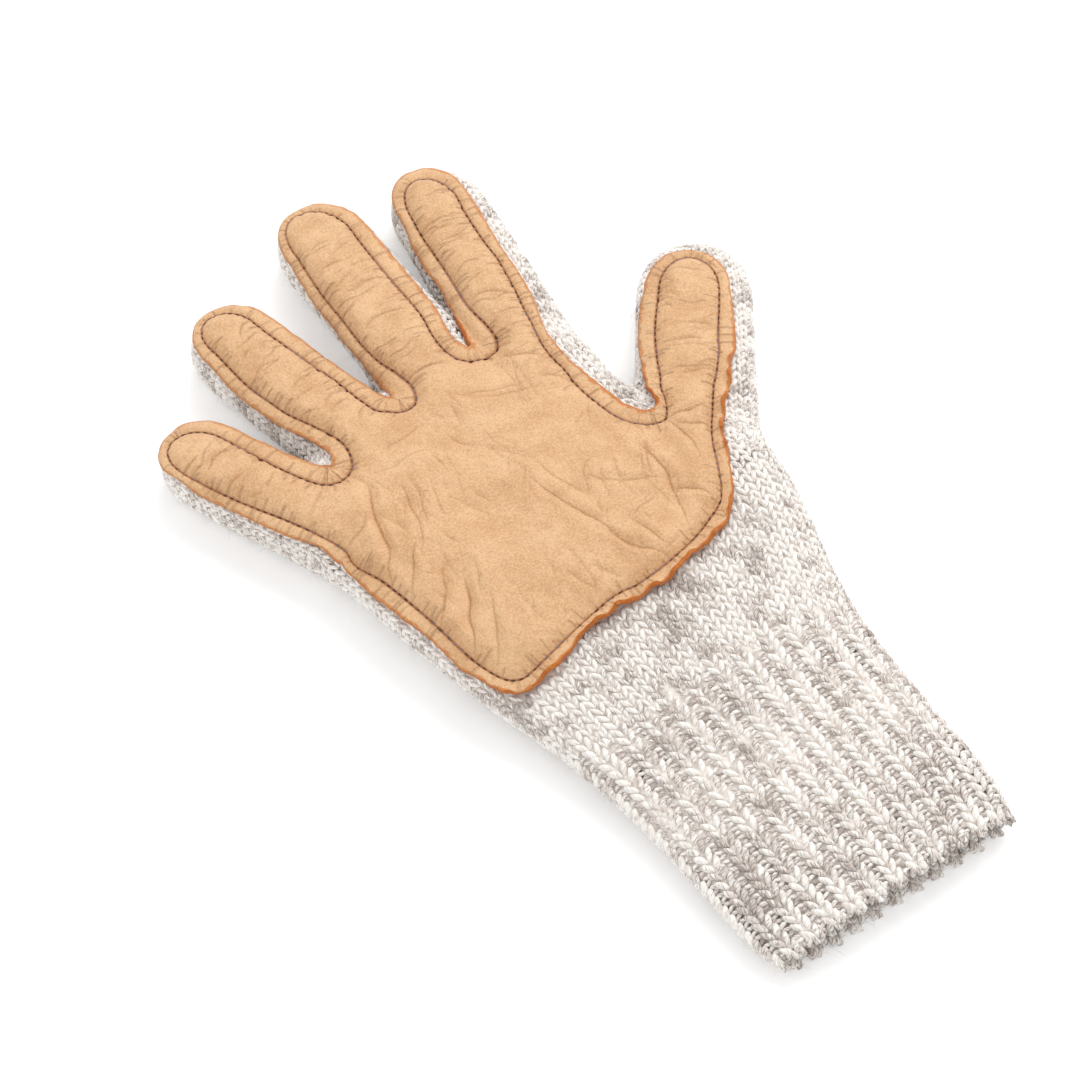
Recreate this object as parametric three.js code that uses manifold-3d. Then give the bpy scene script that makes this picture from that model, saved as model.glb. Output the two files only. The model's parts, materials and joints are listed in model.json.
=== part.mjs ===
// Knitted wool glove for the right hand, with a leather palm sewn on, lying on its back with the palm up.
// Millimetres, +Z up. The cuff's hem is at -Y, the fingertips are at +Y and the thumb is on the +X side.
// The knit is a hand tube with a ribbed cuff, and five closed digit tubes that are knitted on to it.
// The sizes are those of a man's large glove, 270 mm from the hem to the middle fingertip.
import * as THREE from "three";
import { mergeVertices } from "three/addons/utils/BufferGeometryUtils.js";
import Module from "manifold-3d";

const wasm = await Module();
wasm.setup();

// Driving dimensions.
const WALL = 2.5; // thick knitted fabric of bulky yarn
const LEATHER = 1.2; // soft deerskin
const SEAM_GAP = 0.3; // clearance between the leather and the knit below it, and where a digit is knitted on
const LEATHER_LOW = 10; // the leather wraps no lower down the sides than this
const PRESS = 0.5; // how far the soft back is pressed flat against the table
const HOLLOW_START = -8; // the hollow is cut from here, beyond the hem
const TOOL_SKIN = 0.05; // the tool that takes a digit off the hand is this much fatter than the digit
const SQUARENESS = 2.6; // exponent of the superellipse of every cross section

// The ribbed cuff.
const RIBS = 24;
const RIB_DEPTH = 0.9;
const RIB_FADE_START = 62; // the ribs are full up to here and fade into plain knitting
const RIB_FADE_END = 86;
const HEM_SCALLOP = 1.1; // each rib ends in a small rounded lobe
const HEM_ROUND = 1.0; // radius of the hem's outer rim

// Facets of a skin of the glove: of its hand tube and of its digits.
const KNIT_FACETS = { handSides: 2 * RIBS, digitSides: 18, digitSteps: 4, tipSteps: 4 };
const LINING_FACETS = { handSides: 24, digitSides: 12, digitSteps: 3, tipSteps: 2 };
const ABOVE_ALL = 60; // a height above the whole glove, and a depth below it, for the cutting blocks

// Cross sections of the hand from the hem to the webs between the fingers.
const HAND = [
  { name: "hem", along: 0, left: -36, right: 38, height: 12.5 },
  { name: "cuff_low", along: 9, left: -38.5, right: 40.5, height: 13 },
  { name: "cuff_high", along: 40, left: -40, right: 41.5, height: 13.5 },
  { name: "wrist", along: 63, left: -42.5, right: 42.5, height: 15 },
  { name: "wrist_top", along: 82, left: -47, right: 46, height: 17.5 },
  { name: "heel", along: 102, left: -53, right: 52, height: 20 },
  { name: "thumb_swell", along: 120, left: -57, right: 55.5, height: 21.5 },
  { name: "thumb_fork", along: 136, left: -60, right: 51.5, height: 21.5 },
  { name: "thumb_crotch", along: 152, left: -62, right: 39.5, height: 20.5 },
  { name: "knuckles", along: 168, left: -62, right: 36, height: 19.5 },
  { name: "finger_roots", along: 182, left: -56, right: 34, height: 18 },
  { name: "web", along: 193, left: -42, right: 25, height: 15.5 },
  { name: "hand_end", along: 200, left: -25, right: 14, height: 12 },
];

// Digits. Each is a tube from a root inside the hand to its tip, bowed sideways by bow.
// It is knitted on to the hand at the share knitOn of its length.
// Its leather strip starts at the share stripFrom, and stays inside its outline by the trims.
const DIGITS = [
  { name: "little", rootX: -45.5, rootY: 155, tipX: -75.3, tipY: 222, bow: -1.0, rootWidth: 26.5, tipWidth: 24,
    rootHeight: 18, tipHeight: 14.5, knitOn: 0.42, stripFrom: 0.05, trimLeft: 2.0, trimRight: 2.2, trimTip: 1.2 },
  { name: "ring", rootX: -27, rootY: 164, tipX: -45, tipY: 252, bow: -1.0, rootWidth: 27, tipWidth: 25.5,
    rootHeight: 18.5, tipHeight: 15, knitOn: 0.37, stripFrom: 0, trimLeft: 1.6, trimRight: 2.2, trimTip: 1.4 },
  { name: "middle", rootX: -5.5, rootY: 166, tipX: -2, tipY: 269.5, bow: 0.8, rootWidth: 27.5, tipWidth: 28.5,
    rootHeight: 18.5, tipHeight: 15.5, knitOn: 0.36, stripFrom: 0, trimLeft: 1.6, trimRight: 2.2, trimTip: 1.4 },
  { name: "index", rootX: 18, rootY: 164, tipX: 34, tipY: 262.5, bow: 0.6, rootWidth: 28.5, tipWidth: 28,
    rootHeight: 18.5, tipHeight: 15.5, knitOn: 0.36, stripFrom: 0, trimLeft: 1.6, trimRight: 6.4, trimTip: 3.4 },
  { name: "thumb", rootX: 26.3, rootY: 114.6, tipX: 84, tipY: 195, bow: -0.6, rootWidth: 35, tipWidth: 32.5,
    rootHeight: 20.5, tipHeight: 16, knitOn: 0.38, stripFrom: 0.56, trimLeft: 1.5, trimRight: 5.8, trimTip: 8 },
];

// Edge of the palm patch below the strips, once round. ruffle marks the stretches where the edge waves.
const PALM_EDGE = [
  { name: "thumb_side", x: 67, y: 156.5, ruffle: 0.2 },
  { name: "thumb_outer", x: 59.5, y: 147.5, ruffle: 0.8 },
  { name: "thumb_root", x: 50.5, y: 139, ruffle: 1 },
  { name: "thumb_heel", x: 43, y: 127, ruffle: 1 },
  { name: "heel_corner", x: 38.5, y: 118, ruffle: 0.6 },
  { name: "heel_turn", x: 33, y: 111, ruffle: 0.7 },
  { name: "heel_inner", x: 18, y: 104.5, ruffle: 1 },
  { name: "heel_middle", x: -8, y: 101.8, ruffle: 1 },
  { name: "heel_outer", x: -30, y: 98.3, ruffle: 1 },
  { name: "heel_tip", x: -46, y: 95.5, ruffle: 0.6 },
  { name: "tip_side", x: -49.3, y: 99.5, ruffle: 0.4 },
  { name: "side_low", x: -52.3, y: 109, ruffle: 0.5 },
  { name: "side_middle", x: -56, y: 129, ruffle: 0.5 },
  { name: "side_high", x: -59, y: 145, ruffle: 0.4 },
  { name: "little_root", x: -60.5, y: 159, ruffle: 0 },
  { name: "under_little", x: -52, y: 178, ruffle: 0 },
  { name: "crotch_little", x: -44, y: 187, ruffle: 0 },
  { name: "under_ring", x: -32, y: 192, ruffle: 0 },
  { name: "crotch_ring", x: -18, y: 197, ruffle: 0 },
  { name: "under_middle", x: -4, y: 198, ruffle: 0 },
  { name: "crotch_middle", x: 9.5, y: 199, ruffle: 0 },
  { name: "under_index", x: 20, y: 192, ruffle: 0 },
  { name: "index_root", x: 26.5, y: 178, ruffle: 0 },
  { name: "crotch_side", x: 28.2, y: 164, ruffle: 0 },
  { name: "crotch_bottom", x: 33.5, y: 151, ruffle: 0 },
  { name: "crotch_thumb", x: 40, y: 156, ruffle: 0 },
  { name: "thumb_inner", x: 43.2, y: 165, ruffle: 0 },
  { name: "thumb_middle", x: 58, y: 169, ruffle: 0 },
];
const PALM_EDGE_STEPS = 84;
const RUFFLE_WAVES = 26;
const RUFFLE_SWAY = 0.8; // how far the waving edge swings in and out
const RUFFLE_LIFT = 1.4; // how far its crests stand off the knit
const RUFFLE_BAND = 2.5; // how far in from the edge the leather lifts

// Soft folds that stand up from the leather: bent ridges between two points.
const FOLDS = [
  { name: "little_base", fromX: -47, fromY: 172, toX: -51, toY: 126, bow: 4, width: 4.5, rise: 1.0 },
  { name: "ring_base", fromX: -38, fromY: 160, toX: -47, toY: 112, bow: 5, width: 4.5, rise: 0.9 },
  { name: "outer_palm", fromX: -27, fromY: 146, toX: -38, toY: 106, bow: 4, width: 4, rise: 0.8 },
  { name: "life_line", fromX: 20, fromY: 160, toX: 4, toY: 110, bow: -9, width: 5, rise: 0.9 },
  { name: "thumb_mound", fromX: 33, fromY: 143, toX: 19, toY: 108, bow: -5, width: 4.5, rise: 1.0 },
  { name: "thumb_base", fromX: 44, fromY: 146, toX: 34, toY: 120, bow: -3, width: 4, rise: 0.9 },
];
const FOLD_STEPS = 6;
const FOLD_TIP = 0.25; // share of a fold's width and rise that is left at its ends
const FOLD_ROOT = 0.6; // how deep a fold's foot sits in the leather

// Smooth interpolation of one column of a table of sections.
function column(table, key) {
  const last = table.length - 1;
  return (along) => {
    const found = table.findIndex((row) => row.along > along);
    const i = found < 0 ? last - 1 : Math.max(0, found - 1);
    const at = (k) => table[Math.min(last, Math.max(0, k))];
    const [a, b, c, d] = [at(i - 1), at(i), at(i + 1), at(i + 2)];
    const span = c.along - b.along;
    const slopeB = ((c[key] - a[key]) / (c.along - a.along)) * span;
    const slopeC = ((d[key] - b[key]) / (d.along - b.along)) * span;
    const t = THREE.MathUtils.clamp((along - b.along) / span, 0, 1);
    const t2 = t * t;
    const t3 = t2 * t;
    const ends = (2 * t3 - 3 * t2 + 1) * b[key] + (3 * t2 - 2 * t3) * c[key];
    return ends + (t3 - 2 * t2 + t) * slopeB + (t3 - t2) * slopeC;
  };
}

// Points spaced evenly round a superellipse, as [across, up, normalAcross, normalUp].
function evenRing(halfWidth, halfHeight, count) {
  const FINE = 360;
  const power = 2 / SQUARENESS;
  const outline = [];
  const bulge = (v) => Math.sign(v) * Math.abs(v) ** power;
  for (let i = 0; i <= FINE; i++) {
    const angle = (i / FINE) * 2 * Math.PI;
    outline.push([halfWidth * bulge(Math.cos(angle)), halfHeight * bulge(Math.sin(angle))]);
  }
  const lengths = [0];
  for (let i = 1; i <= FINE; i++) {
    const step = Math.hypot(outline[i][0] - outline[i - 1][0], outline[i][1] - outline[i - 1][1]);
    lengths.push(lengths[i - 1] + step);
  }
  const ring = [];
  let i = 0;
  for (let k = 0; k < count; k++) {
    const wanted = (k / count) * lengths[FINE];
    while (lengths[i + 1] < wanted) i++;
    const share = (wanted - lengths[i]) / (lengths[i + 1] - lengths[i]);
    const [ax, ay] = outline[i];
    const [bx, by] = outline[i + 1];
    const step = Math.hypot(bx - ax, by - ay);
    ring.push([ax + share * (bx - ax), ay + share * (by - ay), (by - ay) / step, (ax - bx) / step]);
  }
  return ring;
}

// A ring that runs the other way round from the same first point.
const turned = ([first, ...rest]) => [first, ...rest.reverse()];

// A closed geometry through rings of points, with a fan over each end. A ring has as many points as the
// ring before it, or half as many. Seen from the last ring, each runs anticlockwise.
function loft(rings) {
  const positions = rings.flat(2);
  const starts = [];
  rings.reduce((start, ring) => (starts.push(start), start + ring.length), 0);
  const indices = [];
  for (let r = 0; r + 1 < rings.length; r++) {
    const fine = rings[r].length;
    const coarse = rings[r + 1].length;
    for (let k = 0; k < coarse; k++) {
      const c = starts[r + 1] + k;
      const d = starts[r + 1] + ((k + 1) % coarse);
      if (fine === coarse) {
        const a = starts[r] + k;
        const b = starts[r] + ((k + 1) % fine);
        indices.push(a, b, d, a, d, c);
      } else {
        const a = starts[r] + 2 * k;
        const b = starts[r] + ((2 * k + 2) % fine);
        indices.push(a, a + 1, c, a + 1, b, d, a + 1, d, c);
      }
    }
  }
  const middle = (ring) => ring.reduce((sum, p) => sum.map((v, axis) => v + p[axis] / ring.length), [0, 0, 0]);
  const firstRing = rings[0];
  const lastRing = rings[rings.length - 1];
  const lastStart = starts[rings.length - 1];
  const ends = positions.length / 3;
  positions.push(...middle(firstRing), ...middle(lastRing));
  firstRing.forEach((_, k) => indices.push(ends, (k + 1) % firstRing.length, k));
  lastRing.forEach((_, k) => indices.push(ends + 1, lastStart + k, lastStart + ((k + 1) % lastRing.length)));
  const geometry = new THREE.BufferGeometry();
  geometry.setAttribute("position", new THREE.Float32BufferAttribute(positions, 3));
  geometry.setIndex(indices);
  return geometry;
}

// A geometry as a solid that can be joined and cut.
function solid(geometry) {
  const bare = geometry.clone();
  bare.deleteAttribute("normal");
  bare.deleteAttribute("uv");
  const merged = mergeVertices(bare, 1e-4);
  const made = new wasm.Manifold(
    new wasm.Mesh({
      numProp: 3,
      vertProperties: new Float32Array(merged.attributes.position.array),
      triVerts: new Uint32Array(merged.index.array),
    }),
  );
  if (made.volume() < 0) throw new Error("a profile runs the wrong way round");
  return made;
}

// How full the ribs are at a distance from the hem.
const ribbing = (along) => 1 - THREE.MathUtils.smoothstep(along, RIB_FADE_START, RIB_FADE_END);

// Columns of the hand's table, and the distances from the hem where its tubes have a ring of points.
const handLeft = column(HAND, "left");
const handRight = column(HAND, "right");
const handHeight = column(HAND, "height");
const HAND_END = HAND[HAND.length - 1].along;
const CUFF_STATIONS = [32, RIB_FADE_START, (RIB_FADE_START + RIB_FADE_END) / 2, RIB_FADE_END];
const HAND_STATIONS = [99, 113, 127, 140, 152, 163, 174, 184, 193, HAND_END];

// The hand's section at a distance from the hem, grown outwards by grow.
function handSection(along, grow) {
  const at = THREE.MathUtils.clamp(along, 0, HAND_END);
  return {
    centre: (handRight(at) + handLeft(at)) / 2,
    halfWidth: (handRight(at) - handLeft(at)) / 2 + grow,
    middleHeight: (handHeight(at) - PRESS) / 2,
    halfHeight: (handHeight(at) + PRESS) / 2 + grow,
  };
}

// The plain hand tube, grown outwards by grow. It starts at the distance from.
function handTube(grow, facets, from) {
  const stations = [from, ...CUFF_STATIONS, ...HAND_STATIONS].filter((along) => along >= from);
  const rings = stations.map((along) => {
    const { centre, halfWidth, middleHeight, halfHeight } = handSection(along, grow);
    const reach = along === HAND_END ? along + grow : along;
    const ring = evenRing(halfWidth, halfHeight, facets.handSides);
    return ring.map(([x, z]) => [centre + x, reach, middleHeight + z]);
  });
  return solid(loft(rings.map(turned)));
}

// The hand tube of the knit: a ribbed cuff with a rounded, scalloped hem, that fades into the plain hand.
function ribbedHandTube(facets) {
  const sides = 4 * RIBS;
  const ribbed = (along, grow, reach, scallop) => {
    const { centre, halfWidth, middleHeight, halfHeight } = handSection(along, grow);
    return evenRing(halfWidth, halfHeight, sides).map(([x, z, nx, nz], k) => {
      const wave = Math.cos((2 * Math.PI * k * RIBS) / sides) * ribbing(along);
      const lift = wave * RIB_DEPTH;
      return [centre + x + nx * lift, reach - scallop * wave, middleHeight + z + nz * lift];
    });
  };
  const hem = [
    ribbed(0, -WALL - RIB_DEPTH, WALL + HEM_ROUND, HEM_SCALLOP),
    ribbed(0, -WALL / 2, 0, HEM_SCALLOP),
    ribbed(0, -HEM_ROUND / 2, HEM_ROUND / 3, HEM_SCALLOP),
  ];
  const cuff = [2 * HEM_ROUND, ...CUFF_STATIONS].map((along) => ribbed(along, 0, along, 0));
  const hand = HAND_STATIONS.map((along) => {
    const { centre, halfWidth, middleHeight, halfHeight } = handSection(along, 0);
    const ring = evenRing(halfWidth, halfHeight, facets.handSides);
    return ring.map(([x, z]) => [centre + x, along, middleHeight + z]);
  });
  return solid(loft([...hem, ...cuff, ...hand].map(turned)));
}

// The centre line of a digit, from its root inside the hand to its tip.
function centreLine(digit) {
  const root = new THREE.Vector2(digit.rootX, digit.rootY);
  const tip = new THREE.Vector2(digit.tipX, digit.tipY);
  const across = tip.clone().sub(root).normalize();
  const middle = root.clone().add(tip).multiplyScalar(0.5);
  middle.x += 2 * digit.bow * across.y;
  middle.y -= 2 * digit.bow * across.x;
  return new THREE.QuadraticBezierCurve(root, middle, tip);
}

// Shares of the way along a digit, with a rounded tip: [share of the length, scale of the section].
function digitStations(length, tipRadius, facets) {
  const LAST_ANGLE = 0.47 * Math.PI; // just short of the pole, so that the last ring has a size
  const bodyShare = 1 - tipRadius / length;
  const stations = [];
  for (let i = 0; i < facets.digitSteps; i++) stations.push([(i / facets.digitSteps) * bodyShare, 1]);
  for (let i = 0; i <= facets.tipSteps; i++) {
    const angle = (i / facets.tipSteps) * LAST_ANGLE;
    stations.push([bodyShare + (1 - bodyShare) * Math.sin(angle), Math.cos(angle)]);
  }
  return stations;
}

// One digit's tube, grown outwards by grow.
function digitTube(digit, grow, facets) {
  const line = centreLine(digit);
  const length = line.getLength();
  const tipRadius = digit.tipWidth / 2 + grow;
  const reach = 1 + grow / length;
  const rings = digitStations(length * reach, tipRadius, facets).map(([share, scale]) => {
    const t = share * reach;
    const onLine = Math.min(1, t);
    const direction = line.getTangent(onLine);
    const centre = line.getPoint(onLine).addScaledVector(direction, Math.max(0, t - 1) * length);
    const width = THREE.MathUtils.lerp(digit.rootWidth, digit.tipWidth, onLine);
    const height = THREE.MathUtils.lerp(digit.rootHeight, digit.tipHeight, onLine);
    const ring = evenRing((width / 2 + grow) * scale, ((height + PRESS) / 2 + grow) * scale, facets.digitSides);
    return ring.map(([x, z]) => [
      centre.x + direction.y * x,
      centre.y - direction.x * x,
      (height - PRESS) / 2 + z,
    ]);
  });
  return solid(loft(rings.map(turned)));
}

// A hand tube with the five digits joined to it, all grown outwards by grow.
function withDigits(hand, grow, facets) {
  return DIGITS.reduce((form, digit) => form.add(digitTube(digit, grow, facets)), hand);
}

// A block that holds everything above a height.
function everythingAbove(low) {
  const SPAN = 700;
  const geometry = new THREE.BoxGeometry(SPAN, SPAN, ABOVE_ALL - low);
  geometry.translate(0, 0, (low + ABOVE_ALL) / 2);
  return solid(geometry);
}

// A block that holds all of a digit from the line where it is knitted on, moved towards its tip by ahead.
function fromKnitLine(digit, ahead) {
  const SPAN = 90;
  const line = centreLine(digit);
  const direction = line.getTangent(digit.knitOn);
  const start = line.getPoint(digit.knitOn).addScaledVector(direction, ahead);
  const geometry = new THREE.BoxGeometry(SPAN, SPAN, 2 * ABOVE_ALL);
  geometry.translate(0, SPAN / 2, 0);
  geometry.rotateZ(Math.atan2(-direction.x, direction.y));
  geometry.translate(start.x, start.y, 0);
  return solid(geometry);
}

// An upright prism over a flat outline.
function prism(points) {
  const shape = new THREE.Shape(points);
  return solid(new THREE.ExtrudeGeometry(shape, { depth: ABOVE_ALL, bevelEnabled: false }));
}

// The leather strip over one digit, seen from above.
function stripOutline(digit) {
  const SIDE_STEPS = 8;
  const ARC_STEPS = 10;
  const line = centreLine(digit);
  const length = line.getLength();
  const halfAt = (t) => THREE.MathUtils.lerp(digit.rootWidth, digit.tipWidth, t) / 2;
  const shift = (digit.trimLeft - digit.trimRight) / 2;
  const trim = (digit.trimLeft + digit.trimRight) / 2;
  const tipRadius = halfAt(1) - trim;
  const body = 1 - (digit.trimTip + tipRadius) / length;
  const place = (t, across, ahead) => {
    const direction = line.getTangent(t);
    const point = line.getPoint(t);
    point.x += direction.y * (across + shift) + direction.x * ahead;
    point.y += -direction.x * (across + shift) + direction.y * ahead;
    return point;
  };
  const right = [];
  const left = [];
  for (let i = 0; i <= SIDE_STEPS; i++) {
    const t = THREE.MathUtils.lerp(digit.stripFrom, body, i / SIDE_STEPS);
    right.push(place(t, halfAt(t) - trim, 0));
    left.unshift(place(t, trim - halfAt(t), 0));
  }
  const arc = [];
  for (let i = 1; i < ARC_STEPS; i++) {
    const angle = (i / ARC_STEPS) * Math.PI;
    arc.push(place(body, (halfAt(body) - trim) * Math.cos(angle), tipRadius * Math.sin(angle)));
  }
  return [...right, ...arc, ...left];
}

// The palm patch's edge, once round, as points with the wave of the ruffle at each.
function palmEdge() {
  const curve = new THREE.CatmullRomCurve3(
    PALM_EDGE.map((row) => new THREE.Vector3(row.x, row.y, row.ruffle)),
    true,
    "centripetal",
  );
  const points = curve.getSpacedPoints(PALM_EDGE_STEPS).slice(0, -1);
  return points.map((p, i) => {
    const next = points[(i + 1) % points.length];
    const before = points[(i + points.length - 1) % points.length];
    const along = new THREE.Vector2(next.x - before.x, next.y - before.y).normalize();
    const wave = Math.sin((i / points.length) * 2 * Math.PI * RUFFLE_WAVES);
    const sway = RUFFLE_SWAY * p.z * wave;
    return { point: new THREE.Vector2(p.x - along.y * sway, p.y + along.x * sway), ruffle: p.z, wave };
  });
}

// Lifts the leather along the ruffled stretches of its edge, most at the crests of the waves.
function ruffle(made, edge) {
  const CREST = 1;
  const TROUGH = 0.2;
  const data = made.getMesh();
  for (let i = 0; i < data.vertProperties.length; i += 3) {
    const here = new THREE.Vector2(data.vertProperties[i], data.vertProperties[i + 1]);
    const near = edge.reduce((best, row) => {
      const gap = row.point.distanceTo(here);
      return gap < best.gap ? { gap, row } : best;
    }, { gap: Infinity });
    const share = 1 - THREE.MathUtils.smoothstep(near.gap, 0, RUFFLE_BAND);
    const height = THREE.MathUtils.lerp(TROUGH, CREST, (1 + near.row.wave) / 2);
    data.vertProperties[i + 2] += RUFFLE_LIFT * near.row.ruffle * share * height;
  }
  return new wasm.Manifold(data);
}

// The height of the form's top above a place, grown outwards by grow, up to where the digits' tips round off.
function topHeight(x, y, grow) {
  const TIP_SHARE = 0.8;
  const dome = (across, halfWidth, middleHeight, halfHeight) => {
    const left = Math.max(0, 1 - (Math.abs(across) / halfWidth) ** SQUARENESS);
    return middleHeight + halfHeight * left ** (1 / SQUARENESS);
  };
  const hand = handSection(y, grow);
  const heights = DIGITS.map((digit) => {
    const root = new THREE.Vector2(digit.rootX, digit.rootY);
    const run = new THREE.Vector2(digit.tipX, digit.tipY).sub(root);
    const here = new THREE.Vector2(x, y).sub(root);
    const t = here.dot(run) / run.lengthSq();
    if (t < 0 || t > TIP_SHARE) return 0;
    const height = THREE.MathUtils.lerp(digit.rootHeight, digit.tipHeight, t);
    const halfWidth = THREE.MathUtils.lerp(digit.rootWidth, digit.tipWidth, t) / 2 + grow;
    return dome(here.cross(run) / run.length(), halfWidth, (height - PRESS) / 2, (height + PRESS) / 2 + grow);
  });
  return Math.max(dome(x - hand.centre, hand.halfWidth, hand.middleHeight, hand.halfHeight), ...heights);
}

// One raised fold of the leather: a tapering ridge with a soft crest.
function foldRidge(fold) {
  const PROFILE = [
    { across: -1, rise: 0 },
    { across: -0.35, rise: 0.8 },
    { across: 0.05, rise: 1 },
    { across: 0.45, rise: 0.75 },
    { across: 1, rise: 0 },
  ];
  const from = new THREE.Vector2(fold.fromX, fold.fromY);
  const to = new THREE.Vector2(fold.toX, fold.toY);
  const run = to.clone().sub(from).normalize();
  const middle = from.clone().add(to).multiplyScalar(0.5);
  middle.x += 2 * fold.bow * run.y;
  middle.y -= 2 * fold.bow * run.x;
  const line = new THREE.QuadraticBezierCurve(from, middle, to);
  const rings = [];
  for (let i = 0; i <= FOLD_STEPS; i++) {
    const t = i / FOLD_STEPS;
    const fullness = FOLD_TIP + (1 - FOLD_TIP) * Math.sin(Math.PI * t);
    const centre = line.getPoint(t);
    const ahead = line.getTangent(t);
    rings.push(
      PROFILE.map(({ across, rise }) => {
        const side = (across * fullness * fold.width) / 2;
        const x = centre.x + ahead.y * side;
        const y = centre.y - ahead.x * side;
        const foot = topHeight(x, y, SEAM_GAP + LEATHER) - FOLD_ROOT;
        return [x, y, foot + rise * (fullness * fold.rise + FOLD_ROOT)];
      }),
    );
  }
  return solid(loft(rings));
}

// A named mesh from a solid.
function mesh(name, made, material) {
  const data = made.getMesh();
  const geometry = new THREE.BufferGeometry();
  geometry.setAttribute("position", new THREE.Float32BufferAttribute(data.vertProperties, 3));
  geometry.setIndex(new THREE.Uint32BufferAttribute(data.triVerts, 1));
  geometry.computeVertexNormals();
  const result = new THREE.Mesh(geometry, material);
  result.name = name;
  return result;
}

const wool = new THREE.MeshStandardMaterial({ color: 0xd8d2c8, roughness: 0.95, metalness: 0 });
const deerskin = new THREE.MeshStandardMaterial({ color: 0xdba36c, roughness: 0.6, metalness: 0 });

// The knit: the outer form, flattened by the table, less the hollow for the hand, parted where digits begin.
const outerForm = withDigits(ribbedHandTube(KNIT_FACETS), 0, KNIT_FACETS).intersect(everythingAbove(0));
const hollow = withDigits(handTube(-WALL, LINING_FACETS, HOLLOW_START), -WALL, LINING_FACETS);
const knitDigits = DIGITS.map((digit) => {
  const tube = digitTube(digit, 0, KNIT_FACETS).intersect(everythingAbove(0));
  return tube.intersect(fromKnitLine(digit, SEAM_GAP)).subtract(hollow);
});
const knitHand = DIGITS.reduce(
  (form, digit) => form.subtract(digitTube(digit, TOOL_SKIN, KNIT_FACETS).intersect(fromKnitLine(digit, 0))),
  outerForm.subtract(hollow),
);

// The leather palm: a layer over the form, cut to the patch outline, ruffled at its edge and folded.
const edge = palmEdge();
const palmPatch = prism(edge.map(({ point }) => point).reverse());
const patch = DIGITS.reduce((sum, digit) => sum.add(prism(stripOutline(digit))), palmPatch);
const leatherSkin = (grow) => withDigits(handTube(grow, KNIT_FACETS, RIB_FADE_START), grow, KNIT_FACETS);
const leatherLayer = leatherSkin(SEAM_GAP + LEATHER)
  .subtract(leatherSkin(SEAM_GAP))
  .intersect(patch)
  .intersect(everythingAbove(LEATHER_LOW));
const leatherPalm = FOLDS.reduce((sum, fold) => sum.add(foldRidge(fold)), ruffle(leatherLayer, edge));

// The glove, with the origin under the middle of its box.
const glove = new THREE.Group();
glove.add(mesh("knit_hand", knitHand, wool));
DIGITS.forEach((digit, i) => glove.add(mesh(`knit_${digit.name}`, knitDigits[i], wool)));
glove.add(mesh("leather_palm", leatherPalm, deerskin));
const box = new THREE.Box3().setFromObject(glove);
glove.position.set(-(box.min.x + box.max.x) / 2, -(box.min.y + box.max.y) / 2, -box.min.z);

export default glove;
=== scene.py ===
# Looks of a knitted wool glove with a leather palm, lying on its back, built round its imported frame.
# Tables and functions work in millimetres in the glove's own frame: y runs from the hem to the fingertips,
# the thumb is on the +X side, the palm faces +Z and z is 0 at the table. Meshes are in metres in the row's
# frame.
import json
import math
from collections import namedtuple

import bpy
import numpy as np
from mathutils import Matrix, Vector
from mathutils.kdtree import KDTree

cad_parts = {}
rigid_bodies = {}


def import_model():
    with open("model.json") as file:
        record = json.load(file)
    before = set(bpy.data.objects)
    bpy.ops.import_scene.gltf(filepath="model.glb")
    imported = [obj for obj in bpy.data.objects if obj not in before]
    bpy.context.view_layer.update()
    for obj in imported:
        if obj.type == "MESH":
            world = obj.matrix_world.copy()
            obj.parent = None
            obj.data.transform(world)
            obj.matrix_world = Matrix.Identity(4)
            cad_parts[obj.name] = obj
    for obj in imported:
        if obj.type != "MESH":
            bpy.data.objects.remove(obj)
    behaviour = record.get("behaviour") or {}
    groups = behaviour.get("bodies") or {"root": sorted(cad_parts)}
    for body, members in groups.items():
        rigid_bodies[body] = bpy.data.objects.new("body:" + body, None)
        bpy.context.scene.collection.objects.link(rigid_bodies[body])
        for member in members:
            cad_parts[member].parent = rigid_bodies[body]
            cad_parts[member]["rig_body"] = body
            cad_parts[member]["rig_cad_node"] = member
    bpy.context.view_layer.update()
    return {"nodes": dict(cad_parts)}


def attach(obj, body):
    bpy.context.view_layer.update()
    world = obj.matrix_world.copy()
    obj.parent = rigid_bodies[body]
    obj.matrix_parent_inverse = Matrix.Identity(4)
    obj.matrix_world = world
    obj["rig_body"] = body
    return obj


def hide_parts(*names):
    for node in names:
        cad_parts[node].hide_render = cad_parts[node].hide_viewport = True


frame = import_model()

MM = 0.001
ORIGIN = np.array([3.7006, 134.1704, 0.0])  # where the row's origin lies in the glove's own frame
KNIT_NODES = ["knit_hand", "knit_little", "knit_ring", "knit_middle", "knit_index", "knit_thumb"]

# The form that the solids have.
PRESS = 0.5  # how far the tubes' sections reach below the table, which flattens them
SQUARENESS = 2.6  # the power of the superellipses that the tubes' sections are
WALL = 2.5  # the knit's thickness
LEATHER = 1.2  # the leather's thickness
SEAM_GAP = 0.3  # the room between the knit and the leather
RIBS = 24
RIB_FADE_START = 62  # the ribs are full up to here and fade into plain knitting
RIB_FADE_END = 86

Section = namedtuple("Section", "name along left right height")
HAND = [
    Section("hem", 0, -36, 38, 12.5),
    Section("cuff_low", 9, -38.5, 40.5, 13),
    Section("cuff_high", 40, -40, 41.5, 13.5),
    Section("wrist", 63, -42.5, 42.5, 15),
    Section("wrist_top", 82, -47, 46, 17.5),
    Section("heel", 102, -53, 52, 20),
    Section("thumb_swell", 120, -57, 55.5, 21.5),
    Section("thumb_fork", 136, -60, 51.5, 21.5),
    Section("thumb_crotch", 152, -62, 39.5, 20.5),
    Section("knuckles", 168, -62, 36, 19.5),
    Section("finger_roots", 182, -56, 34, 18),
    Section("web", 193, -42, 25, 15.5),
    Section("hand_end", 200, -25, 14, 12),
]

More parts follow.
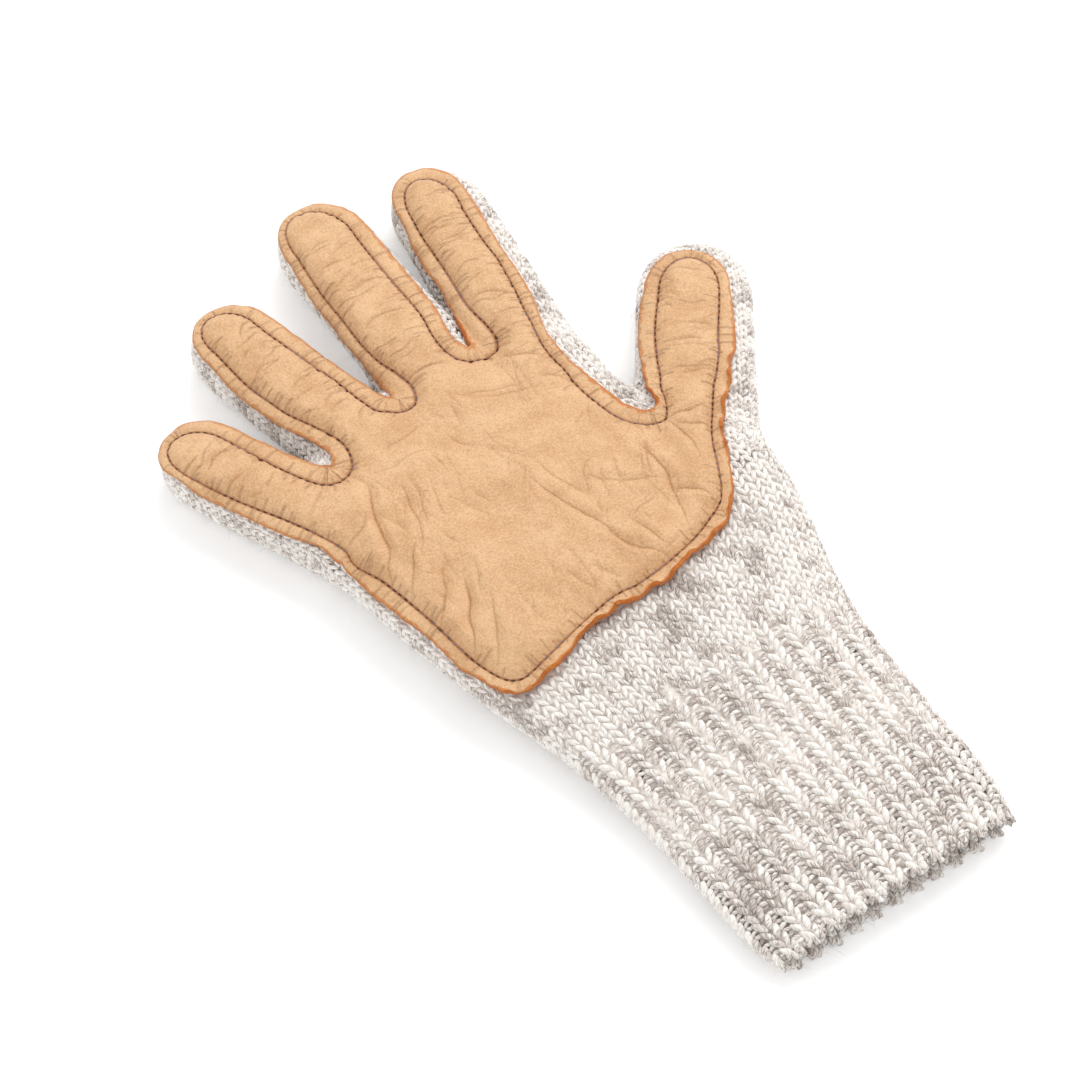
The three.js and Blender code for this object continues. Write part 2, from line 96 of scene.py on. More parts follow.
# A digit's tube runs from its root inside the hand to its tip, bowed sideways. It is knitted on at the share
# knit_on of its length.
Digit = namedtuple("Digit", "name root tip bow root_width tip_width root_height tip_height knit_on")
DIGITS = [
    Digit("little", (-45.5, 155), (-75.3, 222), -1.0, 26.5, 24, 18, 14.5, 0.42),
    Digit("ring", (-27, 164), (-45, 252), -1.0, 27, 25.5, 18.5, 15, 0.37),
    Digit("middle", (-5.5, 166), (-2, 269.5), 0.8, 27.5, 28.5, 18.5, 15.5, 0.36),
    Digit("index", (18, 164), (34, 262.5), 0.6, 28.5, 28, 18.5, 15.5, 0.36),
    Digit("thumb", (26.3, 114.6), (84, 195), -0.6, 35, 32.5, 20.5, 16, 0.38),
]
FINGERS = [digit.name for digit in DIGITS if digit.name != "thumb"]

# The palm patch's edge and seam below the strips, once round. Places under a strip only join it on. ruffle is
# how much the edge waves there, and lift is the angle in degrees by which its margin curls up.
Edge = namedtuple("Edge", "name x y seam_x seam_y ruffle lift")
PALM_EDGE = [
    Edge("thumb_side", 66.5, 155, 62.2, 156, 0.2, 35),
    Edge("thumb_outer", 60.5, 148.5, 56.5, 150, 0.7, 60),
    Edge("thumb_root", 52.3, 139.3, 48.3, 141.1, 1, 85),
    Edge("thumb_low", 46, 132, 42.8, 133.8, 1, 85),
    Edge("thumb_heel", 42, 126, 38.3, 126.8, 0.8, 70),
    Edge("heel_corner", 38.3, 119.5, 34.7, 120, 0.4, 35),
    Edge("heel_turn", 33.2, 111, 30.3, 112.6, 0.5, 50),
    Edge("heel_bend", 26, 105.8, 24, 109.2, 0.7, 65),
    Edge("heel_inner", 14, 102.3, 14.3, 105.8, 1, 70),
    Edge("heel_middle", -4, 99.5, -4, 103.4, 1, 66),
    Edge("heel_lobe", -10, 100.6, -9.7, 104.1, 1, 60),
    Edge("heel_outer", -25, 98.9, -25.1, 101.7, 1, 62),
    Edge("heel_low", -37, 95.8, -36.6, 99.6, 0.9, 60),
    Edge("heel_tip", -45, 95.6, -43.5, 98.9, 0.5, 50),
    Edge("tip_side", -49.4, 99.4, -46.8, 101, 0.4, 40),
    Edge("side_low", -53.2, 109, -50.3, 109.3, 0.5, 20),
    Edge("side_middle", -57, 129, -53.3, 128.6, 0.5, 20),
    Edge("side_high", -60.2, 145, -56.1, 144.7, 0.4, 22),
    Edge("little_root", -60.9, 156, -59.0, 156, 0.2, 30),
    Edge("under_little", -52, 172, -52, 170, 0, 20),
    Edge("under_crotch_little", -45, 180, -44, 175.5, 0, 20),
    Edge("under_ring", -32, 184, -32, 181, 0, 20),
    Edge("under_crotch_ring", -19, 188.5, -18.5, 184, 0, 20),
    Edge("under_middle", -5, 190, -5, 186, 0, 20),
    Edge("under_crotch_middle", 7.5, 190, 7.5, 186, 0, 20),
    Edge("under_index", 15, 188, 15, 184, 0, 20),
    Edge("index_root", 21, 176, 19, 176, 0, 25),
    Edge("crotch_side", 27.8, 162, 23, 162, 0, 30),
    Edge("crotch_low", 28.8, 156, 24, 155, 0, 35),
    Edge("crotch_bottom", 30.6, 151, 25.7, 149.3, 0, 35),
    Edge("crotch_floor", 33.3, 148.1, 30, 144.5, 0, 40),
    Edge("crotch_corner", 36, 148.6, 34.6, 143.1, 0, 85),
    Edge("crotch_thumb", 37.2, 152, 38.6, 148.3, 0, 90),
    Edge("thumb_inner", 38.9, 157, 41.6, 154.6, 0, 60),
    Edge("thumb_middle", 50, 160, 50, 159, 0, 20),
]

# The leather over the digits: its edges and its seams. Each row says how far along the digit it lies, and how
# far across the digit the left and right sides are there. The tip rounds off past the last row.
Strip = namedtuple("Strip", "digit tip rows")
Row = namedtuple("Row", "along left right")
EDGE_STRIPS = [
    Strip("little", 73.4, [
        Row(8, -13.1, 14), Row(12, -12.2, 14), Row(15, -11.5, 14), Row(20, -11.7, 14), Row(24, -12, 13.8),
        Row(26.3, -12.1, 13), Row(30, -12.1, 11.8), Row(35, -12, 10.9), Row(40, -12, 10.5),
        Row(50, -12.1, 10.3), Row(58, -11.5, 10.4), Row(61, -11, 10.1),
    ]),
    Strip("ring", 89.0, [
        Row(10, -16, 17), Row(18, -16, 17), Row(23.3, -13.3, 15.6), Row(25, -11.9, 15),
        Row(27, -11.1, 14.4), Row(30, -10.9, 13.9), Row(35, -11.4, 13.2), Row(40, -12.1, 12.7),
        Row(50, -12.8, 12.2), Row(60, -12.8, 12.2), Row(70, -12, 12), Row(74, -11.4, 11.7),
    ]),
    Strip("middle", 102.2, [
        Row(12, -18, 18), Row(22, -17.6, 17), Row(27, -15.6, 13.5), Row(29.2, -15.3, 11),
        Row(31, -15.2, 9.7), Row(33, -15.1, 8.6), Row(36, -15, 8.4), Row(40, -14.9, 9.2), Row(45, -15, 9.9),
        Row(50, -15.1, 10.5), Row(60, -15, 10.7), Row(70, -14.9, 10.8), Row(80, -14.2, 11),
        Row(85, -13.6, 11.2),
    ]),
    Strip("index", 98.2, [
        Row(0, -10, 9.9), Row(5, -14, 8.1), Row(10, -17, 6.2), Row(15, -18.5, 5), Row(20, -18.5, 4.5),
        Row(25, -18, 4.4), Row(29.2, -16.2, 5.1), Row(32, -15.8, 5.7), Row(35, -15.5, 6.2),
        Row(40, -15, 6.7), Row(50, -14.3, 6.8), Row(57, -13.9, 6.7), Row(65, -14.5, 6.8),
        Row(70, -14.3, 7.2), Row(80, -13.2, 7.4), Row(84, -12.8, 7.2),
    ]),
    Strip("thumb", 90.3, [
        Row(0, -6, 7.4), Row(10, -7, 7.1), Row(20, -8, 6.3), Row(25, -8, 5.8), Row(30, -8, 6.4),
        Row(36, -10, 7.3), Row(40, -13.8, 7.9), Row(45, -14.8, 9.1), Row(50, -15.2, 9.7),
        Row(55, -15.7, 10.3), Row(60, -16, 10.5), Row(65, -15.9, 10.4), Row(70, -15.4, 10.1),
        Row(76, -14.2, 9.5),
    ]),
]
SEAM_STRIPS = [
    Strip("little", 70.5, [
        Row(5, -11, 14), Row(10, -9.8, 15), Row(20.2, -8.8, 14.5), Row(20.6, -8.8, 11.5), Row(22, -8.8, 8),
        Row(25, -8.8, 5.6), Row(30, -8.9, 4.7), Row(40, -9.5, 4.6), Row(50, -9.7, 5.2), Row(58, -9.6, 5.5),
    ]),
    Strip("ring", 86.6, [
        Row(8, -15, 16), Row(17.3, -15, 16), Row(18, -12, 16), Row(20.2, -9.7, 15.5), Row(20.8, -9.3, 14),
        Row(22, -8.5, 11.3), Row(25, -7.3, 9), Row(27, -6.9, 7.3), Row(30, -7, 7), Row(35, -7.7, 7),
        Row(40, -8.6, 7.3), Row(45, -9.5, 7.5), Row(50, -9.7, 7.1), Row(60, -9.9, 6.8), Row(70, -8.9, 6.4),
        Row(75, -8.3, 6.6),
    ]),
    Strip("middle", 100.1, [
        Row(12, -14.5, 16), Row(20.3, -14.5, 16), Row(20.8, -13.2, 16), Row(22, -11.7, 16),
        Row(24.2, -10.5, 15), Row(24.8, -10.3, 10), Row(26, -10, 7), Row(28, -9.8, 5.3), Row(30, -10, 4.5),
        Row(32, -10.4, 4), Row(35, -11, 3.8), Row(40, -12.3, 4.2), Row(45, -12.9, 5.2), Row(50, -13.1, 5.5),
        Row(60, -12.9, 5.3), Row(70, -12.8, 5.4), Row(80, -12, 5.8), Row(85, -11.4, 6.3),
    ]),
    Strip("index", 92.9, [
        Row(0, -8, 4.9), Row(5, -12, 3.6), Row(10, -15, 3), Row(15, -15, 1.9), Row(20, -15, 1.4),
        Row(23.8, -15, 1.7), Row(24.5, -11.6, 1.8), Row(26, -9.8, 1.9), Row(28, -8.9, 2.1),
        Row(30, -8.7, 2.2), Row(35, -9.2, 2.5), Row(40, -10.2, 3.1), Row(45, -10.8, 3.5),
        Row(55, -10.8, 3.9), Row(60, -10.8, 3.4), Row(70, -11.1, 3.2), Row(75, -11, 3.4), Row(80, -10.7, 4),
    ]),
    Strip("thumb", 87.5, [
        Row(0, -2, 4.1), Row(5, -3, 4.7), Row(10, -4, 4.3), Row(15, -4, 3.7), Row(20, -4, 3),
        Row(25, -4, 3), Row(30, -5, 3.5), Row(35, -7.5, 3.8), Row(38, -9.2, 4), Row(40, -9.8, 4.1),
        Row(45, -10.5, 5.2), Row(50, -11.1, 5.7), Row(60, -11.6, 6), Row(70, -10.9, 6.5),
        Row(75, -10.4, 6.6),
    ]),
]

# Soft folds of the palm, which the solids have too: bowed ridges that fade out at both ends.
Fold = namedtuple("Fold", "name start end bow width rise")
FOLDS = [
    Fold("little_base", (-47, 172), (-51, 126), 4, 4.5, 1.0),
    Fold("ring_base", (-38, 160), (-47, 112), 5, 4.5, 0.9),
    Fold("outer_palm", (-27, 146), (-38, 106), 4, 4, 0.8),
    Fold("life_line", (20, 160), (4, 110), -9, 5, 0.9),
    Fold("thumb_mound", (33, 143), (19, 108), -5, 4.5, 1.0),
    Fold("thumb_base", (44, 146), (34, 120), -3, 4, 0.9),
]

# Sharp creases of the palm, each a curve through three points.
Crease = namedtuple("Crease", "start middle end depth width")
CREASES = [
    Crease((-43, 172), (-47.5, 159), (-54.5, 141), 0.75, 1.0),
    Crease((-37, 166), (-38.5, 154), (-43.5, 143), 0.35, 1.0),
    Crease((-33.5, 167), (-35, 158), (-38.5, 149), 0.25, 0.9),
    Crease((-39.5, 131), (-43.5, 122.5), (-50, 111.5), 0.65, 1.0),
    Crease((-40.5, 138), (-46.5, 129.5), (-53, 123), 0.45, 0.9),
    Crease((-42, 148), (-48, 142), (-54, 134), 0.35, 0.8),
    Crease((-36, 124), (-41, 114), (-47.5, 104), 0.30, 1.0),
    Crease((-7.5, 147), (-4.5, 133), (3.5, 109), 0.40, 1.0),
    Crease((-3, 153), (-2, 142), (2, 131), 0.25, 0.9),
    Crease((-1.5, 122), (1.5, 114), (7, 105.5), 0.45, 0.9),
    Crease((5.5, 122), (7.5, 114), (9, 107.5), 0.35, 0.8),
    Crease((-16.5, 116), (-15, 111), (-13.5, 107), 0.25, 0.8),
    Crease((-11, 115), (-8, 110), (-5, 106.5), 0.25, 0.8),
    Crease((21.5, 139), (23, 129), (17, 108.5), 0.70, 1.0),
    Crease((34, 143), (35.5, 136), (32.5, 124), 0.50, 1.0),
    Crease((4, 139), (13, 131), (22, 124.5), 0.30, 1.0),
    Crease((10.5, 143), (5, 138.5), (0.5, 131), 0.25, 1.0),
    Crease((20.5, 123), (24.5, 119), (29.5, 113.5), 0.40, 0.8),
    Crease((26, 139), (21, 133), (19, 126), 0.30, 0.9),
    Crease((7, 120), (11, 121.2), (15.5, 122), 0.25, 0.7),
    Crease((35.5, 140), (39.5, 136), (43, 133.5), 0.45, 0.8),
    Crease((34, 144), (40, 141), (48, 140), 0.40, 0.8),
    Crease((11, 186), (16, 183.5), (22, 179), 0.45, 0.9),
    Crease((-7.5, 182.5), (3, 177.5), (13, 175), 0.30, 0.9),
    Crease((-5, 179.5), (5, 174), (16, 172.5), 0.25, 0.8),
    Crease((-34, 177.5), (-27, 178.5), (-19, 179), 0.25, 0.9),
    Crease((-40, 173.5), (-32, 171.5), (-22, 172.5), 0.20, 0.9),
    Crease((15, 175), (20, 171), (24, 165), 0.30, 0.9),
    Crease((33.5, 143.5), (32, 147), (27, 150), 0.25, 0.8),
    Crease((-59, 158), (-53, 160), (-47, 163.5), 0.30, 0.8),
]

# How many cross wrinkles each digit's leather has, and between which shares of its length.
Wrinkles = namedtuple("Wrinkles", "digit count start end")
WRINKLES = [
    Wrinkles("little", 7, 0.30, 0.84),
    Wrinkles("ring", 10, 0.30, 0.86),
    Wrinkles("middle", 13, 0.24, 0.82),
    Wrinkles("index", 12, 0.20, 0.84),
    Wrinkles("thumb", 15, 0.42, 0.86),
]

# Small helpers for numbers.

def lerp(a, b, t):
    return a + (b - a) * t


def smoothstep(value, low, high):
    t = np.clip((value - low) / (high - low), 0, 1)
    return t * t * (3 - 2 * t)


def smooth_lower(a, b, blend):
    """The lower of two values, rounded where they meet."""
    h = np.clip(0.5 + 0.5 * (b - a) / blend, 0, 1)
    return lerp(b, a, h) - blend * h * (1 - h)


def smooth_higher(a, b, blend):
    return -smooth_lower(-a, -b, blend)


def unit(vectors):
    return vectors / np.maximum(np.linalg.norm(vectors, axis=-1, keepdims=True), 1e-9)


class Waves:
    """Smooth seeded noise from -1 to 1 over a line or a plane, made of sines."""

    def __init__(self, seed, wavelength, count=7, axes=1):
        random = np.random.default_rng(seed)
        direction = unit(random.normal(size=(count, axes)))
        length = wavelength * random.uniform(0.6, 1.7, count)
        self.turn = direction * (2 * math.pi / length)[:, None]
        self.phase = random.uniform(0, 2 * math.pi, count)
        self.weight = 1 / math.sqrt(count / 2) / 1.4

    def __call__(self, *places):
        total = 0
        for turn, phase in zip(self.turn, self.phase):
            total = total + np.sin(sum(k * place for k, place in zip(turn, places)) + phase)
        return total * self.weight


def column(table, key):
    """Smooth interpolation of one column of a table of sections."""
    along = np.array([row.along for row in table], float)
    value = np.array([getattr(row, key) for row in table], float)
    last = len(table) - 1

    def at(place):
        place = np.clip(place, along[0], along[-1])
        i = np.clip(np.searchsorted(along, place, side="right") - 1, 0, last - 1)
        a, b, c, d = (np.clip(i + k, 0, last) for k in (-1, 0, 1, 2))
        span = along[c] - along[b]
        slope_b = (value[c] - value[a]) / (along[c] - along[a]) * span
        slope_c = (value[d] - value[b]) / (along[d] - along[b]) * span
        t = (place - along[b]) / span
        ends = (2 * t**3 - 3 * t**2 + 1) * value[b] + (3 * t**2 - 2 * t**3) * value[c]
        return ends + (t**3 - 2 * t**2 + t) * slope_b + (t**3 - t**2) * slope_c

    return at


hand_left = column(HAND, "left")
hand_right = column(HAND, "right")
hand_height = column(HAND, "height")
HAND_END = HAND[-1].along


def ribbing(along):
    """How full the ribs are at a distance from the hem."""
    return 1 - smoothstep(along, RIB_FADE_START, RIB_FADE_END)


class DigitLine:
    """Where a place lies on a digit: how far along it from its root, and how far across."""

    def __init__(self, digit):
        self.digit = digit
        self.root = np.array(digit.root, float)
        run = np.array(digit.tip, float) - self.root
        self.length = np.linalg.norm(run)
        self.ahead = run / self.length
        self.side = np.array([self.ahead[1], -self.ahead[0]])

    def bend(self, share):
        return 4 * self.digit.bow * share * (1 - np.clip(share, 0, 1))

    def locate(self, x, y):
        rel_x = x - self.root[0]
        rel_y = y - self.root[1]
        along = rel_x * self.ahead[0] + rel_y * self.ahead[1]
        across = rel_x * self.side[0] + rel_y * self.side[1]
        return along, across - self.bend(along / self.length)

    def place(self, along, across):
        share = along / self.length
        sideways = across + self.bend(share)
        return self.root + np.multiply.outer(along, self.ahead) + np.multiply.outer(sideways, self.side)

    def size(self, share):
        share = np.clip(share, 0, 1)
        width = lerp(self.digit.root_width, self.digit.tip_width, share)
        return width, lerp(self.digit.root_height, self.digit.tip_height, share)


LINES = {digit.name: DigitLine(digit) for digit in DIGITS}


# The knitted tubes as grids of points, and their stitches.

RING_POINTS = 360


def even_rings(half_widths, half_heights):
    """Points spaced evenly round superellipses, one row for each section: across and up."""
    angle = np.linspace(0, 2 * math.pi, 4 * RING_POINTS + 1)
    shape = np.stack([np.cos(angle), np.sin(angle)], -1)
    shape = np.sign(shape) * np.abs(shape) ** (2 / SQUARENESS)
    rings = []
    girths = []
    for width, height in zip(half_widths, half_heights):
        outline = shape * (width, height)
        steps = np.linalg.norm(np.diff(outline, axis=0), axis=1)
        lengths = np.concatenate([[0], np.cumsum(steps)])
        wanted = np.linspace(0, lengths[-1], RING_POINTS, endpoint=False)
        rings.append(np.stack([np.interp(wanted, lengths, outline[:, k]) for k in (0, 1)], -1))
        girths.append(lengths[-1])
    return np.array(rings), np.array(girths)


class Tube:
    """A knitted tube: points and normals in even rings along it, each from the thumb side over the top."""

    def __init__(self, along, centre, side, half_widths, half_heights, middles):
        rings, self.girth = even_rings(half_widths, half_heights)
        flat = centre[:, None, :] + rings[..., :1] * np.asarray(side, float)
        height = middles[:, None] + rings[..., 1]
        self.along = np.asarray(along, float)
        self.points = np.concatenate([flat, height[..., None]], -1)
        round_it = np.roll(self.points, -1, axis=1) - np.roll(self.points, 1, axis=1)
        self.normals = unit(np.cross(np.gradient(self.points, axis=0), round_it))

    def at(self, around, along):
        """Points and outward normals at shares of the way round and distances along."""
        station = np.interp(along, self.along, np.arange(len(self.along)))
        low = np.clip(station.astype(int), 0, len(self.along) - 2)
        up_share = (station - low)[..., None]
        turn = np.mod(around, 1) * RING_POINTS
        first = turn.astype(int) % RING_POINTS
        turn_share = (turn - np.floor(turn))[..., None]
        second = (first + 1) % RING_POINTS

        def sample(grid):
            lower = lerp(grid[low, first], grid[low, second], turn_share)
            upper = lerp(grid[low + 1, first], grid[low + 1, second], turn_share)
            return lerp(lower, upper, up_share)

        return sample(self.points), unit(sample(self.normals))

    def girth_at(self, along):
        return np.interp(along, self.along, self.girth)


def hand_tube():
    along = np.arange(-2, HAND_END + 0.1, 1.0)
    left, right, height = hand_left(along), hand_right(along), hand_height(along)
    centre = np.stack([(left + right) / 2, along], -1)
    return Tube(along, centre, (1, 0), (right - left) / 2, (height + PRESS) / 2, (height - PRESS) / 2)


TIP_STRETCH = 1.25  # how much longer a tip's rounding is than the tube's half width


def tip_scale(line, along, grow=0.0):
    """How much a digit's section has shrunk at a distance along it, where it rounds off."""
    rounding = TIP_STRETCH * (line.digit.tip_width / 2 + grow)
    into_tip = np.clip((along - line.length - grow + rounding) / rounding, 0, 1)
    return np.sqrt(np.maximum(1e-3, 1 - into_tip**2))


def digit_tube(line):
    """A digit's tube, whose rounded tip is measured along its own arc."""
    LAST_ANGLE = 0.46 * math.pi
    BODY_STEPS = 30
    TIP_STEPS = 14
    rounding = TIP_STRETCH * line.digit.tip_width / 2
    body = line.length - rounding
    angle = np.linspace(0, LAST_ANGLE, TIP_STEPS + 1)[1:]
    place = np.concatenate([np.linspace(0, body, BODY_STEPS), body + rounding * np.sin(angle)])
    scale = np.concatenate([np.ones(BODY_STEPS), np.cos(angle)])
    steps = np.hypot(np.diff(place), np.diff(scale) * line.digit.tip_width / 2)
    along = np.concatenate([[0], np.cumsum(steps)])
    width, height = line.size(place / line.length)
    halves = width / 2 * scale, (height + PRESS) / 2 * scale
    return Tube(along, line.place(place, np.zeros(len(place))), line.side, *halves, (height - PRESS) / 2)


HAND_TUBE = hand_tube()
DIGIT_TUBES = {name: digit_tube(line) for name, line in LINES.items()}


def depth_in_section(across, upward, half_width, half_height):
    """About how far places lie inside a superellipse, and below zero outside it."""
    sideways = np.abs(across) / half_width
    upright = np.abs(upward) / half_height
    level = (sideways**SQUARENESS + upright**SQUARENESS) ** (1 / SQUARENESS)
    power = SQUARENESS - 1
    steepness = np.hypot(sideways**power / half_width, upright**power / half_height)
    slope = steepness / np.maximum(level, 1e-3) ** power
    return (1 - level) / np.maximum(slope, 0.5 / np.maximum(half_width, half_height))


def depth_in_hand(points):
    """About how far points lie below the hand tube's skin, and below zero outside it."""
    x, y, z = points[..., 0], points[..., 1], points[..., 2]
    left, right, height = hand_left(y), hand_right(y), hand_height(y)
    sizes = (right - left) / 2, (height + PRESS) / 2
    depth = depth_in_section(x - (left + right) / 2, z - (height - PRESS) / 2, *sizes)
    return depth - np.maximum(0, y - HAND_END)


def depth_in_digit(line, points):
    along, across = line.locate(points[..., 0], points[..., 1])
    width, height = line.size(along / line.length)
    scale = np.maximum(0.1, tip_scale(line, along))
    sizes = width / 2 * scale, (height + PRESS) / 2 * scale
    outside = np.maximum(np.maximum(0, along - line.length), np.maximum(0, -along))
    return depth_in_section(across, points[..., 2] - (height - PRESS) / 2, *sizes) - outside


FORM_BLEND = 6.0  # how widely the hand and the digits run together


def depth_in_form(points):
    depth = depth_in_hand(points)
    for line in LINES.values():
        depth = smooth_higher(depth, depth_in_digit(line, points), FORM_BLEND)
    return depth


def settled(points, depth=0.0, rounds=2):
    """Points moved to a depth below the whole form's skin, and the skin's outward normals there."""
    STEP = 0.3
    LONGEST_MOVE = 3
    LEAST_STEEP = 0.3
    points = points.copy()
    for _ in range(rounds):
        gradient = np.empty_like(points)
        for axis in range(3):
            shift = np.zeros(3)
            shift[axis] = STEP
            gradient[..., axis] = (depth_in_form(points + shift) - depth_in_form(points - shift)) / (2 * STEP)
        steep = np.maximum((gradient**2).sum(-1), LEAST_STEEP)
        move = (depth_in_form(points) - depth) / steep
        points -= gradient * np.clip(move, -LONGEST_MOVE, LONGEST_MOVE)[..., None]
    return points, -unit(gradient)


# The leather patch seen from above: its outline, and how far a place lies inside it.

LATTICE = 0.7  # spacing of the leather's points
OUTLINE_BLEND = 0.8  # how widely the strips and the palm run together
SEAM_INSET = 4.0  # the margin's usual width outside the seam
OUTLINE_STEP = 0.2
STRIP_LIFT = 10.0  # how far, in degrees, the margin curls up along the digits


def spline_loop(points, steps):
    """A smooth closed line through points, each with any number of columns."""
    points = np.asarray(points, float)
    made = []
    for i in range(len(points)):
        p = [points[(i + k) % len(points)] for k in (-1, 0, 1, 2)]
        gaps = [math.sqrt(np.linalg.norm((p[k + 1] - p[k])[:2])) for k in range(3)]
        t = np.concatenate([[0], np.cumsum(gaps)])
        for u in np.linspace(t[1], t[2], steps, endpoint=False):
            a = [lerp(p[k], p[k + 1], (u - t[k]) / (t[k + 1] - t[k])) for k in range(3)]
            b = [lerp(a[k], a[k + 1], (u - t[k]) / (t[k + 2] - t[k])) for k in range(2)]
            made.append(lerp(b[0], b[1], (u - t[1]) / (t[2] - t[1])))
    return np.array(made)


def strip_outline(strip):
    """One digit's strip seen from above."""
    SIDE_STEPS = 80
    TIP_STEPS = 33
    line = LINES[strip.digit]
    last = strip.rows[-1]
    along = np.linspace(strip.rows[0].along, last.along, SIDE_STEPS)
    angle = np.linspace(0, math.pi, TIP_STEPS)[1:-1]
    middle, half = (last.left + last.right) / 2, (last.right - last.left) / 2
    right = line.place(along, column(strip.rows, "right")(along))
    arc = line.place(last.along + (strip.tip - last.along) * np.sin(angle), middle + half * np.cos(angle))
    left = line.place(along[::-1], column(strip.rows, "left")(along[::-1]))
    return np.concatenate([right, arc, left])


def polygon_distance(points, corners):
    """How far points lie outside a closed outline, and below zero inside it."""
    nearest = np.full(len(points), np.inf)
    inside = np.zeros(len(points), bool)
    for a, b in zip(corners, np.roll(corners, -1, axis=0)):
        run = b - a
        rel = points - a
        t = np.clip(rel @ run / max(run @ run, 1e-12), 0, 1)
        nearest = np.minimum(nearest, ((rel - t[:, None] * run) ** 2).sum(1))
        passes = (a[1] > points[:, 1]) != (b[1] > points[:, 1])
        edge_x = a[0] + rel[:, 1] * run[0] / (run[1] if abs(run[1]) > 1e-9 else 1e-9)
        inside ^= passes & (points[:, 0] < edge_x)
    return np.where(inside, -1, 1) * np.sqrt(nearest)


def lattice(low, high, spacing):
    """Points in rows of equilateral triangles, and the triangles."""
    rows = int((high[1] - low[1]) / (spacing * math.sqrt(3) / 2)) + 2
    columns = int((high[0] - low[0]) / spacing) + 2
    i, j = np.meshgrid(np.arange(columns), np.arange(rows))
    x = low[0] + (i + 0.5 * (j % 2)) * spacing
    y = low[1] + j * spacing * math.sqrt(3) / 2
    index = i + j * columns
    a, b = index[:-1, :-1], index[:-1, 1:]
    c, d = index[1:, :-1], index[1:, 1:]
    odd = (j[:-1, :-1] % 2).astype(bool)
    first = np.where(odd[..., None], np.stack([a, b, d], -1), np.stack([a, b, c], -1))
    second = np.where(odd[..., None], np.stack([a, d, c], -1), np.stack([b, d, c], -1))
    return np.stack([x.ravel(), y.ravel()], -1), np.concatenate([first.reshape(-1, 3), second.reshape(-1, 3)])


def level_loops(points, triangles, values, level):
    """The closed lines on which values over a triangulated plane pass a level, the longest first."""
    above = values > level
    corners = above[triangles]
    crossed = triangles[corners.any(1) & ~corners.all(1)]
    links = {}
    places = {}
    for triangle in crossed.tolist():
        keys = []
        for a, b in ((0, 1), (1, 2), (2, 0)):
            p, q = triangle[a], triangle[b]
            if above[p] != above[q]:
                keys.append((min(p, q), max(p, q)))
        for key, other in (keys, keys[::-1]):
            links.setdefault(key, []).append(other)
            p, q = key
            share = (level - values[p]) / (values[q] - values[p])
            places[key] = lerp(points[p], points[q], share)
    loops = []
    while links:
        start = next(iter(links))
        key = start
        loop = []
        while key in links:
            loop.append(places[key])
            ahead = [other for other in links.pop(key) if other in links]
            key = ahead[0] if ahead else None
        loops.append(np.array(loop))
    return sorted(loops, key=len, reverse=True)


def softened(loop, passes):
    """A closed line with each point drawn towards its neighbours."""
    for _ in range(passes):
        loop = (np.roll(loop, 1, axis=0) + 2 * loop + np.roll(loop, -1, axis=0)) / 4
    return loop


def evenly(loop, step):
    """A closed line's points, spaced evenly about a step apart, running anticlockwise."""
    closed = np.vstack([loop, loop[:1]])
    x, y = closed[:, 0], closed[:, 1]
    if (x[:-1] * y[1:] - x[1:] * y[:-1]).sum() < 0:
        closed = closed[::-1]
    lengths = np.concatenate([[0], np.cumsum(np.linalg.norm(np.diff(closed, axis=0), axis=1))])
    count = int(round(lengths[-1] / step))
    wanted = np.linspace(0, lengths[-1], count, endpoint=False)
    return np.stack([np.interp(wanted, lengths, closed[:, k]) for k in (0, 1)], -1), lengths[-1]


class Outline:
    """A closed line round the leather, with its directions, its ruffle and its lift. sway makes it wavy."""

    def __init__(self, loop, sway):
        plain, _ = evenly(softened(loop, 4), OUTLINE_STEP)
        named = [(row.x, row.y, row.ruffle, row.lift) for row in PALM_EDGE]
        self.marks = spline_loop(named, 6)
        ruffle = self.marked(plain)[:, 0]
        arc = np.arange(len(plain)) * OUTLINE_STEP
        wave = Waves(11, 16)(arc) + 0.35 * Waves(12, 6)(arc)
        swayed = plain + self.outward_of(plain) * (sway * (0.15 + 0.85 * ruffle) * wave)[:, None]
        self.points, self.length = evenly(softened(swayed, 2), OUTLINE_STEP)
        self.outward = self.outward_of(self.points)
        self.step = self.length / len(self.points)
        self.ruffle, self.lift = self.marked(self.points).T
        self.tree = KDTree(len(self.points))
        for i, (x, y) in enumerate(self.points):
            self.tree.insert((x, y, 0), i)
        self.tree.balance()

    def marked(self, points):
        """The ruffle and lift of the nearest mark, faded to a plain margin away from the palm's edge."""
        STRIP = np.array([0.0, STRIP_LIFT])
        SPREAD = 12  # how many points to either side each value is averaged over
        gaps = np.linalg.norm(points[:, None, :] - self.marks[None, :, :2], axis=-1)
        nearest = gaps.argmin(1)
        share = smoothstep(gaps.min(1), 2, 9)[:, None]
        made = lerp(np.clip(self.marks[nearest, 2:], 0, 90), STRIP, share)
        kernel = np.ones(2 * SPREAD + 1) / (2 * SPREAD + 1)
        padded = np.vstack([made[-SPREAD:], made, made[:SPREAD]])
        return np.stack([np.convolve(padded[:, k], kernel, "valid") for k in (0, 1)], -1)

    @staticmethod
    def outward_of(points):
        run = unit(np.roll(points, -1, axis=0) - np.roll(points, 1, axis=0))
        return np.stack([run[:, 1], -run[:, 0]], -1)

    def nearest(self, points):
        """For each place the number of the nearest edge point, and how far outside the edge it lies."""
        found = np.array([self.tree.find((x, y, 0))[1:] for x, y in points])
        number = found[:, 0].astype(int)
        rel = points - self.points[number]
        outward = self.outward[number]
        off = (rel * outward).sum(1)
        along = rel[:, 0] * -outward[:, 1] + rel[:, 1] * outward[:, 0]
        exact = np.abs(along) < self.step
        return number, np.where(exact, off, np.sign(off) * found[:, 1]), along


